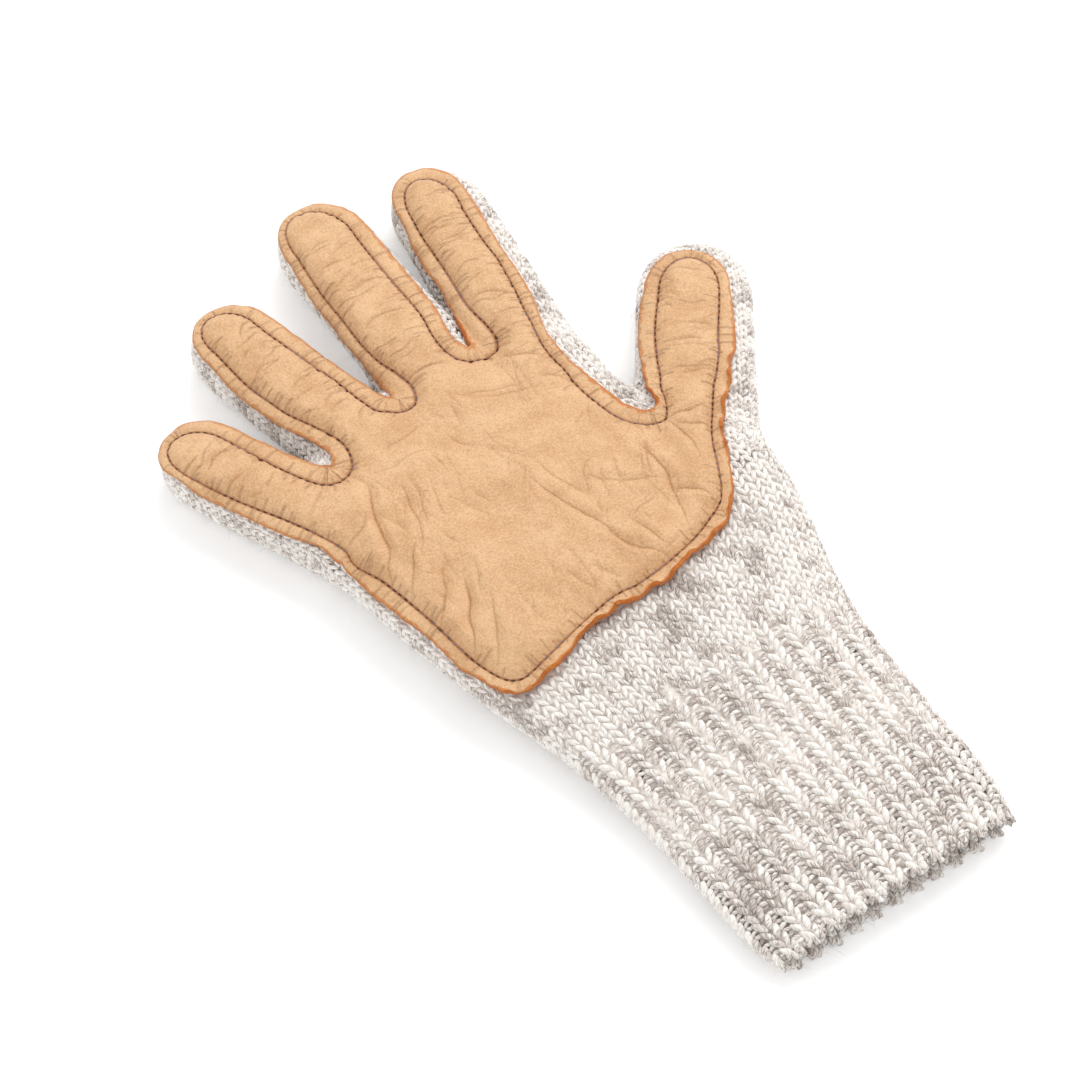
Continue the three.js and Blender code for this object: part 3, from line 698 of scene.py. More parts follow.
def patch_loop(palm, strips):
    """The outline of the palm and the digits' strips together, and how far outside it the lattice lies."""
    field = polygon_distance(PLANE_POINTS, spline_loop(palm, 5))
    for strip in strips:
        field = smooth_lower(field, polygon_distance(PLANE_POINTS, strip_outline(strip)), OUTLINE_BLEND)
    return level_loops(PLANE_POINTS, PLANE_TRIANGLES, field, 0)[0], field


PLANE_POINTS, PLANE_TRIANGLES = lattice((-95, 88), (95, 275), LATTICE)
EDGE_LOOP, PLANE_FIELD = patch_loop([(row.x, row.y) for row in PALM_EDGE], EDGE_STRIPS)
OUTLINE = Outline(EDGE_LOOP, sway=0.45)
SEAM = Outline(patch_loop([(row.seam_x, row.seam_y) for row in PALM_EDGE], SEAM_STRIPS)[0], sway=0.0)


# Meshes, UV maps and attributes from arrays.

def new_piece(name, points, faces, materials):
    """A mesh object from points in millimetres and arrays of faces, one array for each face size."""
    corners = np.concatenate([part.ravel() for part in faces])
    sizes = np.concatenate([np.full(len(part), part.shape[1]) for part in faces])
    starts = np.concatenate([[0], np.cumsum(sizes)[:-1]])
    mesh = bpy.data.meshes.new(name)
    mesh.vertices.add(len(points))
    mesh.vertices.foreach_set("co", ((points - ORIGIN) * MM).astype(np.float32).ravel())
    mesh.loops.add(len(corners))
    mesh.loops.foreach_set("vertex_index", corners.astype(np.int32))
    mesh.polygons.add(len(sizes))
    mesh.polygons.foreach_set("loop_start", starts.astype(np.int32))
    mesh.polygons.foreach_set("use_smooth", np.ones(len(sizes), bool))
    mesh.update(calc_edges=True)
    for material in materials:
        mesh.materials.append(material)
    piece = bpy.data.objects.new(name, mesh)
    bpy.context.scene.collection.objects.link(piece)
    return piece


def set_attribute(piece, name, values):
    attribute = piece.data.attributes.new(name, "FLOAT", "POINT")
    attribute.data.foreach_set("value", np.asarray(values, np.float32))


def set_uv(piece, name, corner_values):
    layer = piece.data.uv_layers.new(name=name)
    layer.data.foreach_set("uv", corner_values.astype(np.float32).ravel())


def only(piece):
    bpy.ops.object.select_all(action="DESELECT")
    piece.select_set(True)
    bpy.context.view_layer.objects.active = piece


def apply_modifier(piece, kind, **settings):
    only(piece)
    modifier = piece.modifiers.new(kind.lower(), kind)
    for key, value in settings.items():
        setattr(modifier, key, value)
    bpy.ops.object.modifier_apply(modifier=modifier.name)


def spindles(name, axis, radius, normal, tone, sides, material):
    """Many short thick strands as one mesh. axis holds each strand's stations from tip to tip, (n, s, 3)."""
    count, stations, _ = axis.shape
    rings = stations - 2
    tangent = unit(np.gradient(axis, axis=1))
    side = unit(np.cross(tangent, normal))
    upward = np.cross(side, tangent)
    angle = np.arange(sides) / sides * 2 * math.pi
    middle = slice(1, -1)
    offset = np.cos(angle)[:, None] * side[:, middle, None] + np.sin(angle)[:, None] * upward[:, middle, None]
    skin = axis[:, middle, None] + offset * radius[:, middle, None, None]
    points = pressed_on_table(np.concatenate([skin.reshape(count, -1, 3), axis[:, :1], axis[:, -1:]], 1))
    per_strand = rings * sides + 2
    k = np.arange(sides)
    after = (k + 1) % sides
    quads = []
    quad_u = []
    for r in range(rings - 1):
        low, high = r * sides, (r + 1) * sides
        quads.append(np.stack([low + k, high + k, high + after, low + after], -1))
        quad_u.append(np.tile([r, r + 1, r + 1, r], (sides, 1)))
    quads = np.concatenate(quads)
    quad_u = np.concatenate(quad_u) + 1
    quad_v = np.tile(np.stack([k, k, k + 1, k + 1], -1), (rings - 1, 1)) / sides
    last = (rings - 1) * sides
    first_tip, last_tip = rings * sides, rings * sides + 1
    tips = np.concatenate([
        np.stack([np.full(sides, first_tip), k, after], -1),
        np.stack([np.full(sides, last_tip), last + after, last + k], -1),
    ])
    tip_u = np.concatenate([
        np.tile([0, 1, 1], (sides, 1)),
        np.tile([stations - 1, stations - 2, stations - 2], (sides, 1)),
    ])
    tip_v = np.concatenate([np.stack([k + 0.5, k, k + 1], -1), np.stack([k + 0.5, k + 1, k], -1)]) / sides
    offset_of = (np.arange(count) * per_strand)[:, None, None]
    all_quads = (quads[None] + offset_of).reshape(-1, 4)
    all_tips = (tips[None] + offset_of).reshape(-1, 3)
    piece = new_piece(name, points.reshape(-1, 3), [all_quads, all_tips], [material])
    steps = np.linalg.norm(np.diff(axis, axis=1), axis=2)
    length = np.concatenate([np.zeros((count, 1)), np.cumsum(steps, 1)], 1)
    shift = np.random.default_rng(5).uniform(0, 50, count)[:, None]

    def corner_uv(u_index, v_value):
        u = (length + shift)[:, u_index.ravel()]
        v = np.tile(v_value.ravel(), (count, 1))
        return np.stack([u, v], -1).reshape(-1, 2)

    set_uv(piece, "ply", np.concatenate([corner_uv(quad_u, quad_v), corner_uv(tip_u, tip_v)]))
    set_attribute(piece, "tone", np.repeat(tone, per_strand))
    return piece


# Stitches. A wale is a column of stitches and a course is a row of them.

STRAND_SIDES = 6
STRAND_STATIONS = np.array([0, 0.1, 0.38, 0.66, 0.92, 1])
STRAND_FULLNESS = np.array([0, 0.66, 1, 1, 0.7, 0])
COURSE_HAND = 2.6  # the pitch of the hand's courses
COURSE_CUFF = 2.9
COURSE_CHANGE = (55, 80)  # between these places the cuff's pitch becomes the hand's
CUFF_WALES = 2 * RIBS
HAND_WALES = 56
FINGER_WALES = 22
THUMB_WALES = 28
LEG_RADIUS = 0.68  # the yarn's radius in one leg of a V
CUFF_LEG_RADIUS = 0.92
FULL_SPAN = 2.6  # the width of a wale from which its yarn is full
LEG_ACROSS = (0.05, 0.46)  # where a leg starts and ends across its wale, as shares of the wale's width
LEG_UPWARDS = (-0.64, 0.74)  # and along it, as shares of a course's pitch
PURL_RADIUS = 0.6
PURL_SINK = 1.0  # how far the bumps between the ribs lie below the fabric
HEM_RADIUS = 0.85
LINING_RADIUS = 0.8
LINING_ROWS = 6
RIB_SHARE = 0.72  # how much of a rib's pitch its knit wale takes
MARL_WAVELENGTH = 14  # how long the yarn's light and dark stretches are


def yarn_tone(seed):
    """The heathered yarn's light and dark stretches, as a function of the place along it and the course."""
    along = Waves(seed, MARL_WAVELENGTH, 9, 2)
    fine = Waves(seed + 1, 5, 7, 2)

    def tone(place, course):
        return np.clip(0.26 + 0.36 * along(place, course * 17) + 0.20 * fine(place, course * 9), 0, 1)

    return tone


class Strands:
    """Short strands of yarn: axes (n, stations, 3), radii, normals out of the fabric, and a tone each."""

    def __init__(self, axis, radius, normal, tone):
        self.parts = [axis, radius, normal, tone]

    @property
    def middle(self):
        return self.parts[0][:, self.parts[0].shape[1] // 2]

    def pick(self, keep):
        return Strands(*(part[keep] for part in self.parts))

    @staticmethod
    def joined(groups):
        return Strands(*(np.concatenate(parts) for parts in zip(*[group.parts for group in groups])))


def on_fabric(tube, around, along, height, own):
    """Points at a height over the fabric, which follows the tube away from the joints between the tubes."""
    points, normals = tube.at(around, along)
    others = [depth_in_digit(line, points) for name, line in LINES.items() if name != own]
    if own != "hand":
        others.append(depth_in_hand(points))
    near = np.max(others, axis=0) > -FORM_BLEND
    rested, rested_normals = settled(points[near])
    points[near] = rested
    normals[near] = rested_normals
    return points + normals * height[..., None], normals


def leg_strands(tube, own, around, width, along, course, side, lift, radius, tone, random):
    """One leg of each V. around and along give the V's middle, width and course its pitches, side its leg."""
    t = STRAND_STATIONS[None, :]
    ease = lerp(t, t * t * (3 - 2 * t), 0.5)
    jitter = random.normal(0, 1, (5, len(around), 1))
    girth = tube.girth_at(along)[:, None]
    reach = lerp(*LEG_ACROSS, ease) + 0.015 * jitter[0]
    sideways = side * reach * width[:, None] / girth
    upward = lerp(*LEG_UPWARDS, t) * course[:, None] * (1 + 0.03 * jitter[1]) + 0.08 * jitter[2]
    thick = radius[:, None] * (1 + 0.07 * jitter[3])
    dip = np.where(t < 0.5, 0.45, 0.8) * (1 - np.sin(np.clip(t, 0.02, 0.98) * math.pi) ** 0.8)
    height = lift[:, None] - thick * 0.9 - dip + 0.05 * jitter[4]
    axis, normals = on_fabric(tube, around[:, None] + sideways, along[:, None] + upward, height, own)
    return Strands(axis, thick * STRAND_FULLNESS, normals, tone)


def v_stitches(tube, own, where, lift, radius, tone_at, random):
    """Both legs of V stitches. where holds what says the V's place and pitches."""
    return [
        leg_strands(tube, own, *where, side, lift, radius, tone_at(side), random)
        for side in (-1.0, 1.0)
    ]


def purl_strands(tube, around, width, along, slant, tone, random):
    """The short bumps across a recessed wale."""
    t = STRAND_STATIONS[None, :]
    jitter = random.normal(0, 1, (3, len(around), 1))
    girth = tube.girth_at(along)[:, None]
    sideways = (t - 0.5) * width[:, None] * 1.5 / girth
    upward = slant * (t - 0.5) + 0.35 * np.sin(t * math.pi) + 0.08 * jitter[0]
    height = -PURL_SINK - 0.5 * np.abs(2 * t - 1) ** 2 + 0.06 * jitter[2]
    axis, normals = on_fabric(tube, around[:, None] + sideways, along[:, None] + upward, height, "hand")
    return Strands(axis, PURL_RADIUS * (1 + 0.08 * jitter[1]) * STRAND_FULLNESS, normals, tone)


JOIN_AHEAD = 5.0  # how far before a digit's knitted-on line its own stitches take over
COVERED = 1.5  # how far inside the leather's edge stitches are left out
PALM_SIDE = 8  # the height above which a stitch lies on the palm side, where the leather can hide it


def seen(strands, own):
    """The strands that aren't inside another tube, on another tube's fabric or under the leather."""
    middle = strands.middle
    stay = np.ones(len(middle), bool)
    for name, line in LINES.items():
        along, _ = line.locate(middle[:, 0], middle[:, 1])
        begun = along > line.digit.knit_on * line.length - JOIN_AHEAD
        depth = depth_in_digit(line, middle)
        if own == "hand":
            stay &= depth < np.where(begun, 0.2, 2.0)
        elif name != own:
            stay &= depth < 1.4
        else:
            stay &= depth_in_hand(middle) < np.where(begun, 2.0, 0.6)
    _, off, _ = OUTLINE.nearest(middle[:, :2])
    return strands.pick(stay & ~((off < -COVERED) & (middle[:, 2] > PALM_SIDE)))


def wale_layout(along):
    """Where the hand's wales lie round the tube and how wide they are: ribs that fade into even wales."""
    extra = [3 * k + 1 for k in range(HAND_WALES - CUFF_WALES)]
    ribbed = []
    kinds = []
    for rib in range(RIBS):
        ribbed += [rib / RIBS, (rib + 0.5) / RIBS]
        kinds += ["knit", "purl"]
        if rib in extra:
            ribbed.append((rib + 0.52) / RIBS)
            kinds.append("added")
    share = {"knit": RIB_SHARE, "purl": 1 - RIB_SHARE, "added": 0.05}
    kinds = np.array(kinds)
    even = np.arange(HAND_WALES) / HAND_WALES
    fade = 1 - ribbing(along)[None, :]
    place = lerp(np.array(ribbed)[:, None], even[:, None], fade)
    width = lerp(np.array([share[kind] for kind in kinds])[:, None] / RIBS, 1 / HAND_WALES, fade)
    return place, width, kinds


def hand_stitches():
    """The strands of the whole hand tube: V stitches, and purl bumps between the cuff's ribs."""
    random = np.random.default_rng(21)
    courses = [1.2]
    while courses[-1] < HAND_END - 1:
        at = courses[-1]
        courses.append(at + lerp(COURSE_CUFF, COURSE_HAND, float(smoothstep(at, *COURSE_CHANGE))))
    along = np.array(courses)
    pitch = np.gradient(along)
    place, width, kinds = wale_layout(along)
    turning = random.uniform(0.2, 0.7, HAND_WALES)
    tone_of = yarn_tone(40)
    wale, course = np.meshgrid(np.arange(HAND_WALES), np.arange(len(along)), indexing="ij")
    wale, course = wale.ravel(), course.ravel()
    girth = HAND_TUBE.girth_at(along)[course]
    span = width[wale, course] * girth
    fullness = ribbing(along)[course]
    turned = 1 - fullness > turning[wale]
    chosen = (kinds[wale] == "knit") | turned
    w, c, full = wale[chosen], course[chosen], fullness[chosen]
    knit = kinds[w] == "knit"
    raised = np.where(knit, 0.35, -0.7) * full
    radius = lerp(LEG_RADIUS, CUFF_LEG_RADIUS, full * knit) * np.minimum(1, span[chosen] / FULL_SPAN)
    where = place[w, c], span[chosen], along[c], pitch[c]
    distance = place[w, c] * girth[chosen]
    groups = v_stitches(
        HAND_TUBE, "hand", where, raised, radius, lambda side: tone_of(distance + side, c), random
    )
    chosen = (kinds[wale] == "purl") & ~turned
    w, c = wale[chosen], course[chosen]
    for half, slant in ((0.0, -0.9), (0.5, 0.9)):
        # The purl bumps' tone is raised by 0.2: painted shade in the recessed valleys between the ribs.
        tone = np.clip(tone_of(place[w, c] * girth[chosen], c + half) + 0.2, 0, 1)
        row = along[c] + half * pitch[c]
        groups.append(purl_strands(HAND_TUBE, place[w, c], span[chosen], row, slant, tone, random))
    return seen(Strands.joined(groups), "hand")


def hem_loops():
    """Fat loops that turn over the cuff's edge, from its outer side to its inner one."""
    random = np.random.default_rng(22)
    count = 4 * RIBS
    around = np.arange(count) / count + 0.25 / count
    wave = np.cos(2 * math.pi * RIBS * around)[:, None]
    jitter = random.normal(0, 1, (3, count, 1))
    along = np.array([3.2, 0.9, -0.5, -0.7, 0.8, 3.0])[None, :] - 1.1 * wave + 0.15 * jitter[0]
    height = np.array([-0.9, -0.6, -1.0, -1.7, -2.2, -2.2])[None, :] + 0.5 * wave * [1, 1, 0.8, 0.5, 0.2, 0]
    slant = np.where(np.arange(count) % 2, 1, -1)[:, None] * np.linspace(-0.35, 0.35, 6)[None, :] / count
    axis, normals = on_fabric(HAND_TUBE, around[:, None] + slant, along, height, "hand")
    radius = (HEM_RADIUS + 0.06 * jitter[1]) * STRAND_FULLNESS
    return Strands(axis, radius, normals, random.uniform(0.2, 0.9, count))


def lining_stitches():
    """The V stitches that show on the inner side of the cuff's mouth."""
    random = np.random.default_rng(23)
    count = 2 * RIBS
    wale, course = np.meshgrid(np.arange(count), np.arange(LINING_ROWS), indexing="ij")
    wale, course = wale.ravel(), course.ravel()
    around = wale / count
    along = 2.0 + course * COURSE_CUFF
    span = HAND_TUBE.girth_at(along) / count
    lift = np.full(len(wale), -WALL + 0.7)
    radius = np.full(len(wale), LINING_RADIUS)
    where = around, span, along, np.full(len(wale), COURSE_CUFF)
    return Strands.joined(v_stitches(
        HAND_TUBE, "hand", where, lift, radius, lambda side: random.uniform(0.3, 0.9, len(wale)), random
    ))


DIGIT_START = 18  # how far before its knitted-on line a digit's stitches start, inside the hand
LEAST_RADIUS = 0.3  # thinner strands, at the very tips, are left out


def digit_stitches(name):
    """The V stitches of a digit that aren't hidden in the hand or under the leather."""
    random = np.random.default_rng(60 + len(name) * 7)
    tube = DIGIT_TUBES[name]
    line = LINES[name]
    wales = THUMB_WALES if name == "thumb" else FINGER_WALES
    start = line.digit.knit_on * line.length - DIGIT_START
    along = np.arange(max(start, 1), tube.along[-1] - 1, COURSE_HAND)
    wale, course = np.meshgrid(np.arange(wales), np.arange(len(along)), indexing="ij")
    wale, course = wale.ravel(), course.ravel()
    girth = tube.girth_at(along)[course]
    span = girth / wales
    around = wale / wales
    tone_of = yarn_tone(80 + len(name))
    radius = np.minimum(LEG_RADIUS, 0.26 * span)
    where = around, span, along[course], np.full(len(wale), COURSE_HAND)
    lift = np.zeros(len(wale))
    legs = v_stitches(
        tube, name, where, lift, radius, lambda side: tone_of(around * girth + side, course), random
    )
    return seen(Strands.joined(legs).pick(np.tile(radius > LEAST_RADIUS, 2)), name)


FLOOR_CLEAR = 0.02
STRAND_CLEAR = 0.5  # how near the table a strand's axis comes
HEM_DROOP = 0.16  # the share by which the cuff's mouth is lower
DROOP_END = 26


def drooped(points):
    """The cuff's mouth sags a little towards the table."""
    sag = HEM_DROOP * (1 - smoothstep(points[..., 1], -2, DROOP_END))
    return np.stack([points[..., 0], points[..., 1], points[..., 2] * (1 - sag)], -1)


def pressed_on_table(points, low=FLOOR_CLEAR):
    """Points kept above the table."""
    return np.concatenate([points[..., :2], np.maximum(points[..., 2:], low)], -1)


def stitch_piece(name, strands, material):
    axis, radius, normal, tone = strands.parts
    axis = pressed_on_table(drooped(axis), STRAND_CLEAR)
    return spindles(name, axis, radius, normal, tone, STRAND_SIDES, material)


HAIRS = 7500
HAIR_RADIUS = 0.035
HAIR_CLEAR = 0.1
HAIR_UNDER_LEATHER = 5.0  # hairs that stay below this height can't reach the leather
CUFF_TOP = 56  # where the cuff's piece ends and the wrist's begins
WRIST_TOP = 108


def wool_fuzz(strands, material):
    """Loose fibres that stand off the knit."""
    random = np.random.default_rng(77)
    t = np.array([0, 0.3, 0.7, 1.0])[None, :, None]
    chosen = random.integers(0, len(strands.middle), HAIRS)
    start = strands.parts[0][chosen, random.integers(1, 5, HAIRS)][:, None]
    out = strands.parts[2][chosen, 2][:, None]
    loose = unit(random.normal(size=(HAIRS, 1, 3)))
    bend = unit(random.normal(size=(HAIRS, 1, 3)))
    flat = unit(loose - out * (loose * out).sum(-1, keepdims=True))
    length = random.gamma(3, 0.7, (HAIRS, 1, 1)) + 1.2
    rise = random.uniform(0.15, 0.75, (HAIRS, 1, 1))
    axis = start + out * 0.3 + (flat + out * rise) * length * t + bend * length * 0.45 * t * t
    axis = pressed_on_table(drooped(axis), HAIR_CLEAR)
    tone = random.uniform(0, 0.6, HAIRS)
    low = axis[..., 2].max(1) < HAIR_UNDER_LEATHER
    free = low | (np.min([OUTLINE.nearest(axis[:, k, :2])[1] for k in (0, 2, 3)], axis=0) > 0.6)
    axis, out, tone = axis[free], out[free], tone[free]
    radius = np.tile(HAIR_RADIUS * np.array([1, 1, 0.7, 0.3]), (len(axis), 1))
    return spindles("wool_fuzz", axis, radius, np.tile(out, (1, 4, 1)), tone, 3, material)


def knit_pieces(material, fuzz_material):
    hand = Strands.joined([hand_stitches(), hem_loops(), lining_stitches()])
    along = hand.middle[:, 1]
    groups = {
        "cuff_stitches": hand.pick(along < CUFF_TOP),
        "wrist_stitches": hand.pick((along >= CUFF_TOP) & (along < WRIST_TOP)),
        "hand_stitches": hand.pick(along >= WRIST_TOP),
        "finger_stitches": Strands.joined([digit_stitches(name) for name in FINGERS]),
        "thumb_stitches": digit_stitches("thumb"),
    }
    pieces = [stitch_piece(name, strands, material) for name, strands in groups.items()]
    pieces.append(wool_fuzz(Strands.joined(groups.values()), fuzz_material))
    return pieces


# The knit's ground under the stitches.

GROUND_VOXEL = 1.5
GROUND_SINK = 0.9  # how far the ground's outer side lies below the solids' skin
OUTER_SKIN = (1.3, 1.9)  # depths in the form between which the outer side ends and the inner one begins
GROUND_LOW = 0.3  # how near the table the ground comes


def knit_ground(material):
    """One skin from copies of the knit's solids, sunk below the stitches on its outer side."""
    bpy.ops.object.select_all(action="DESELECT")
    copies = []
    for node in KNIT_NODES:
        copy = frame["nodes"][node].copy()
        copy.data = frame["nodes"][node].data.copy()
        copy.parent = None
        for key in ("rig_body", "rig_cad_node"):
            if key in copy:
                del copy[key]
        bpy.context.scene.collection.objects.link(copy)
        copies.append(copy)
    for copy in copies:
        copy.select_set(True)
    bpy.context.view_layer.objects.active = copies[0]
    bpy.ops.object.join()
    ground = bpy.context.view_layer.objects.active
    ground.name = "knit_ground"
    ground.data.name = "knit_ground"
    bpy.ops.object.mode_set(mode="EDIT")
    bpy.ops.mesh.select_all(action="SELECT")
    bpy.ops.mesh.remove_doubles(threshold=1e-6)
    bpy.ops.object.mode_set(mode="OBJECT")
    apply_modifier(ground, "REMESH", mode="VOXEL", voxel_size=GROUND_VOXEL * MM, use_smooth_shade=True)
    apply_modifier(ground, "SMOOTH", factor=0.5, iterations=3)
    mesh = ground.data
    co = np.empty(len(mesh.vertices) * 3, np.float32)
    normal = np.empty(len(mesh.vertices) * 3, np.float32)
    mesh.vertices.foreach_get("co", co)
    mesh.vertices.foreach_get("normal", normal)
    points = co.reshape(-1, 3) / MM + ORIGIN
    normal = normal.reshape(-1, 3)
    outer = (1 - smoothstep(depth_in_form(points), *OUTER_SKIN))[:, None]
    ribbed = points - normal * GROUND_SINK * outer
    plain = lerp(points, settled(points, GROUND_SINK)[0], outer)
    points = lerp(plain, ribbed, ribbing(points[:, 1:2]))
    points = pressed_on_table(drooped(points), GROUND_LOW)
    mesh.vertices.foreach_set("co", ((points - ORIGIN) * MM).astype(np.float32).ravel())
    mesh.materials.clear()
    mesh.materials.append(material)
    mesh.update()
    return ground


# The leather.

DOME_BLEND = 2.5  # how widely the tops of the hand and the digits run together under the leather
OUTSIDE_SLOPE = 3.0  # how steeply a top falls past the sides of its tube


def dome(across, half_width, middle, half_height, scale=1.0):
    """The height of a section's top at distances across it."""
    share = np.abs(across) / (half_width * scale)
    left = np.maximum(0, 1 - share**SQUARENESS) ** (1 / SQUARENESS)
    outside = np.maximum(0, np.abs(across) - half_width * scale)
    return middle + half_height * scale * left - OUTSIDE_SLOPE * outside


def form_top(x, y, grow):
    """The height of the form's top, grown by grow, with soft valleys between its tubes."""
    left, right, height = hand_left(y), hand_right(y), hand_height(y)
    middle, half_height = (height - PRESS) / 2, (height + PRESS) / 2 + grow
    top = dome(x - (left + right) / 2, (right - left) / 2 + grow, middle, half_height)
    top = top - OUTSIDE_SLOPE * np.maximum(0, y - HAND_END)
    for line in LINES.values():
        along, across = line.locate(x, y)
        width, height = line.size(along / line.length)
        scale = tip_scale(line, along, grow)
        digit = dome(across, width / 2 + grow, (height - PRESS) / 2, (height + PRESS) / 2 + grow, scale)
        digit -= OUTSIDE_SLOPE * np.maximum(0, along - line.length - grow)
        digit -= 0.3 * np.maximum(0, 8 - along)
        top = smooth_higher(top, digit, DOME_BLEND)
    return top


def leather_normals(x, y, grow):
    """The directions in which the leather stands off the form, never too far from straight up."""
    STEP = 0.2
    slope_x = (form_top(x + STEP, y, grow) - form_top(x - STEP, y, grow)) / (2 * STEP)
    slope_y = (form_top(x, y + STEP, grow) - form_top(x, y - STEP, grow)) / (2 * STEP)
    steep = np.hypot(slope_x, slope_y)
    soften = np.minimum(1, 1.5 / np.maximum(steep, 1e-6))
    return unit(np.stack([-slope_x * soften, -slope_y * soften, np.ones_like(x)], -1))


def digit_place(x, y):
    """Each place's nearest digit by number, and how far across and along that digit it lies."""
    best = np.full(x.shape, -np.inf)
    number, across, along = np.zeros(x.shape, int), np.zeros(x.shape), np.zeros(x.shape)
    for k, line in enumerate(LINES.values()):
        ahead, aside = line.locate(x, y)
        margin = line.size(ahead / line.length)[0] / 2 - np.abs(aside) - 3 * np.maximum(0, 5 - ahead)
        nearer = margin > best
        best = np.where(nearer, margin, best)
        number = np.where(nearer, k, number)
        across = np.where(nearer, aside, across)
        along = np.where(nearer, ahead, along)
    return number, across, along


CURL_WIDTH = 3.2  # how wide the strip along the edge is that curls up
LIFTED_SIDE = (0.58, 0.81)  # the margin stands up more where the edge faces away from this direction
SIDE_LIFT = 26  # and by how many degrees


def leather_sheet():
    """The cut patch's flat points and triangles, and each point's distance from the edge and place on it."""
    near = PLANE_FIELD < 2.5
    number = np.full(len(PLANE_POINTS), -1)
    points = PLANE_POINTS[near]
    number[near] = np.arange(len(points))
    triangles = number[PLANE_TRIANGLES]
    triangles = triangles[(triangles >= 0).all(1)]
    edge, off, along = OUTLINE.nearest(points)
    snapped = np.abs(off) <= LATTICE / 2
    run = np.stack([-OUTLINE.outward[:, 1], OUTLINE.outward[:, 0]], -1)
    points[snapped] = OUTLINE.points[edge[snapped]] + run[edge[snapped]] * along[snapped, None]
    off[snapped] = 0
    inside = off <= 0
    good = inside[triangles].all(1)
    middle = points[triangles].mean(1)
    check = good & snapped[triangles].all(1)
    _, off_middle, _ = OUTLINE.nearest(middle[check])
    good[np.flatnonzero(check)[off_middle > -0.05]] = False
    triangles = triangles[good]
    used = np.unique(triangles)
    renumber = np.full(len(points), -1)
    renumber[used] = np.arange(len(used))
    return points[used], renumber[triangles], -off[used], edge[used]


def curve_distance(x, y, start, middle, end, steps=8):
    """Places' distances from a curve through three points, negative on one side, and shares along it."""
    start, middle, end = (np.array(point, float) for point in (start, middle, end))
    control = 2 * middle - (start + end) / 2
    nearest = np.full(x.shape, np.inf)
    side, share = np.zeros(x.shape), np.zeros(x.shape)
    corner = start
    for k in range(steps):
        t = (k + 1) / steps
        ahead = (1 - t) ** 2 * start + 2 * t * (1 - t) * control + t * t * end
        run = ahead - corner
        rel_x, rel_y = x - corner[0], y - corner[1]
        u = np.clip((rel_x * run[0] + rel_y * run[1]) / (run @ run), 0, 1)
        gap = np.hypot(rel_x - u * run[0], rel_y - u * run[1])
        closer = gap < nearest
        nearest = np.where(closer, gap, nearest)
        side = np.where(closer, rel_x * run[1] - rel_y * run[0], side)
        share = np.where(closer, (k + u) / steps, share)
        corner = ahead
    return np.copysign(nearest, side), share


def digit_wrinkles():
    """The cross wrinkles of the digits' leather, as creases that reach in from either seam."""
    random = np.random.default_rng(3)
    made = []
    for row in WRINKLES:
        line = LINES[row.digit]
        seam = next(strip.rows[-1] for strip in SEAM_STRIPS if strip.digit == row.digit)
        shift = (seam.left + seam.right) / 2
        for i in range(row.count):
            share = lerp(row.start, row.end, (i + random.uniform(0.1, 0.9)) / row.count)
            along = share * line.length
            half = (seam.right - seam.left) / 2
            side = 1 if random.random() < 0.5 else -1
            reach = lerp(0.5, 1.9, random.random() ** 1.3)
            near, far = shift + side * half, shift + side * half * (1 - reach)
            tilt = random.normal(0, 0.9)
            bow = random.uniform(0.4, 1.6)
            points = [
                line.place(along - tilt, near),
                line.place(along + bow, (near + far) / 2),
                line.place(along + tilt, far),
            ]
            made.append(Crease(*points, random.uniform(0.10, 0.36), random.uniform(0.5, 0.7)))
    return made


PALM_LINES = 70
PALM_LINE_PIVOT = np.array([-25.0, 40.0])  # the place that they fan out from


def palm_lines():
    """Faint short creases scattered over the palm, which fan out from a place below the heel."""
    random = np.random.default_rng(4)
    made = []
    for _ in range(PALM_LINES):
        middle = np.array([random.uniform(-52, 34), random.uniform(108, 184)])
        away = unit(middle - PALM_LINE_PIVOT)
        turned = np.array([away[1], -away[0]]) * random.normal(0.1, 0.5)
        run = unit(away + turned) * random.uniform(2, 9)
        side = np.array([run[1], -run[0]]) * random.normal(0, 0.09)
        made.append(Crease(middle - run, middle + side, middle + run, random.uniform(0.05, 0.18), 0.6))
    return made


CREASE_REACH = 0.8  # how far to either side of a crease its shade reaches


def creased(x, y):
    """The folds' and creases' relief, and the strength and signed distance of each place's main crease."""
    relief, strength = np.zeros(x.shape), np.zeros(x.shape)
    line_gap = np.full(x.shape, 3.0)
    meander_x, meander_y = Waves(36, 11, 7, 2)(x, y) * 0.5, Waves(37, 11, 7, 2)(x, y) * 0.5
    for fold in FOLDS:
        start, end = np.array(fold.start, float), np.array(fold.end, float)
        run = end - start
        middle = (start + end) / 2 + fold.bow * np.array([run[1], -run[0]]) / np.linalg.norm(run)
        gap, share = curve_distance(x, y, start, middle, end)
        relief += fold.rise * np.exp(-((gap / fold.width * 1.6) ** 2)) * np.sin(np.pi * share) ** 0.7
    for crease in CREASES + digit_wrinkles() + palm_lines():
        gap, share = curve_distance(x + meander_x, y + meander_y, crease.start, crease.middle, crease.end)
        fade = np.sin(np.pi * np.clip(share, 0.02, 0.98)) ** 0.6
        width = 1.25 * crease.width
        groove = np.exp(-((gap / width) ** 2))
        banks = np.exp(-(((np.abs(gap) - 2 * width) / width) ** 2))
        relief += crease.depth * fade * (0.55 * banks - 0.95 * groove)
        near = fade * min(1, 0.15 + 1.5 * crease.depth) * np.exp(-((gap / CREASE_REACH) ** 2))
        stronger = near > strength
        strength = np.where(stronger, near, strength)
        line_gap = np.where(stronger, gap, line_gap)
    return relief, strength, line_gap


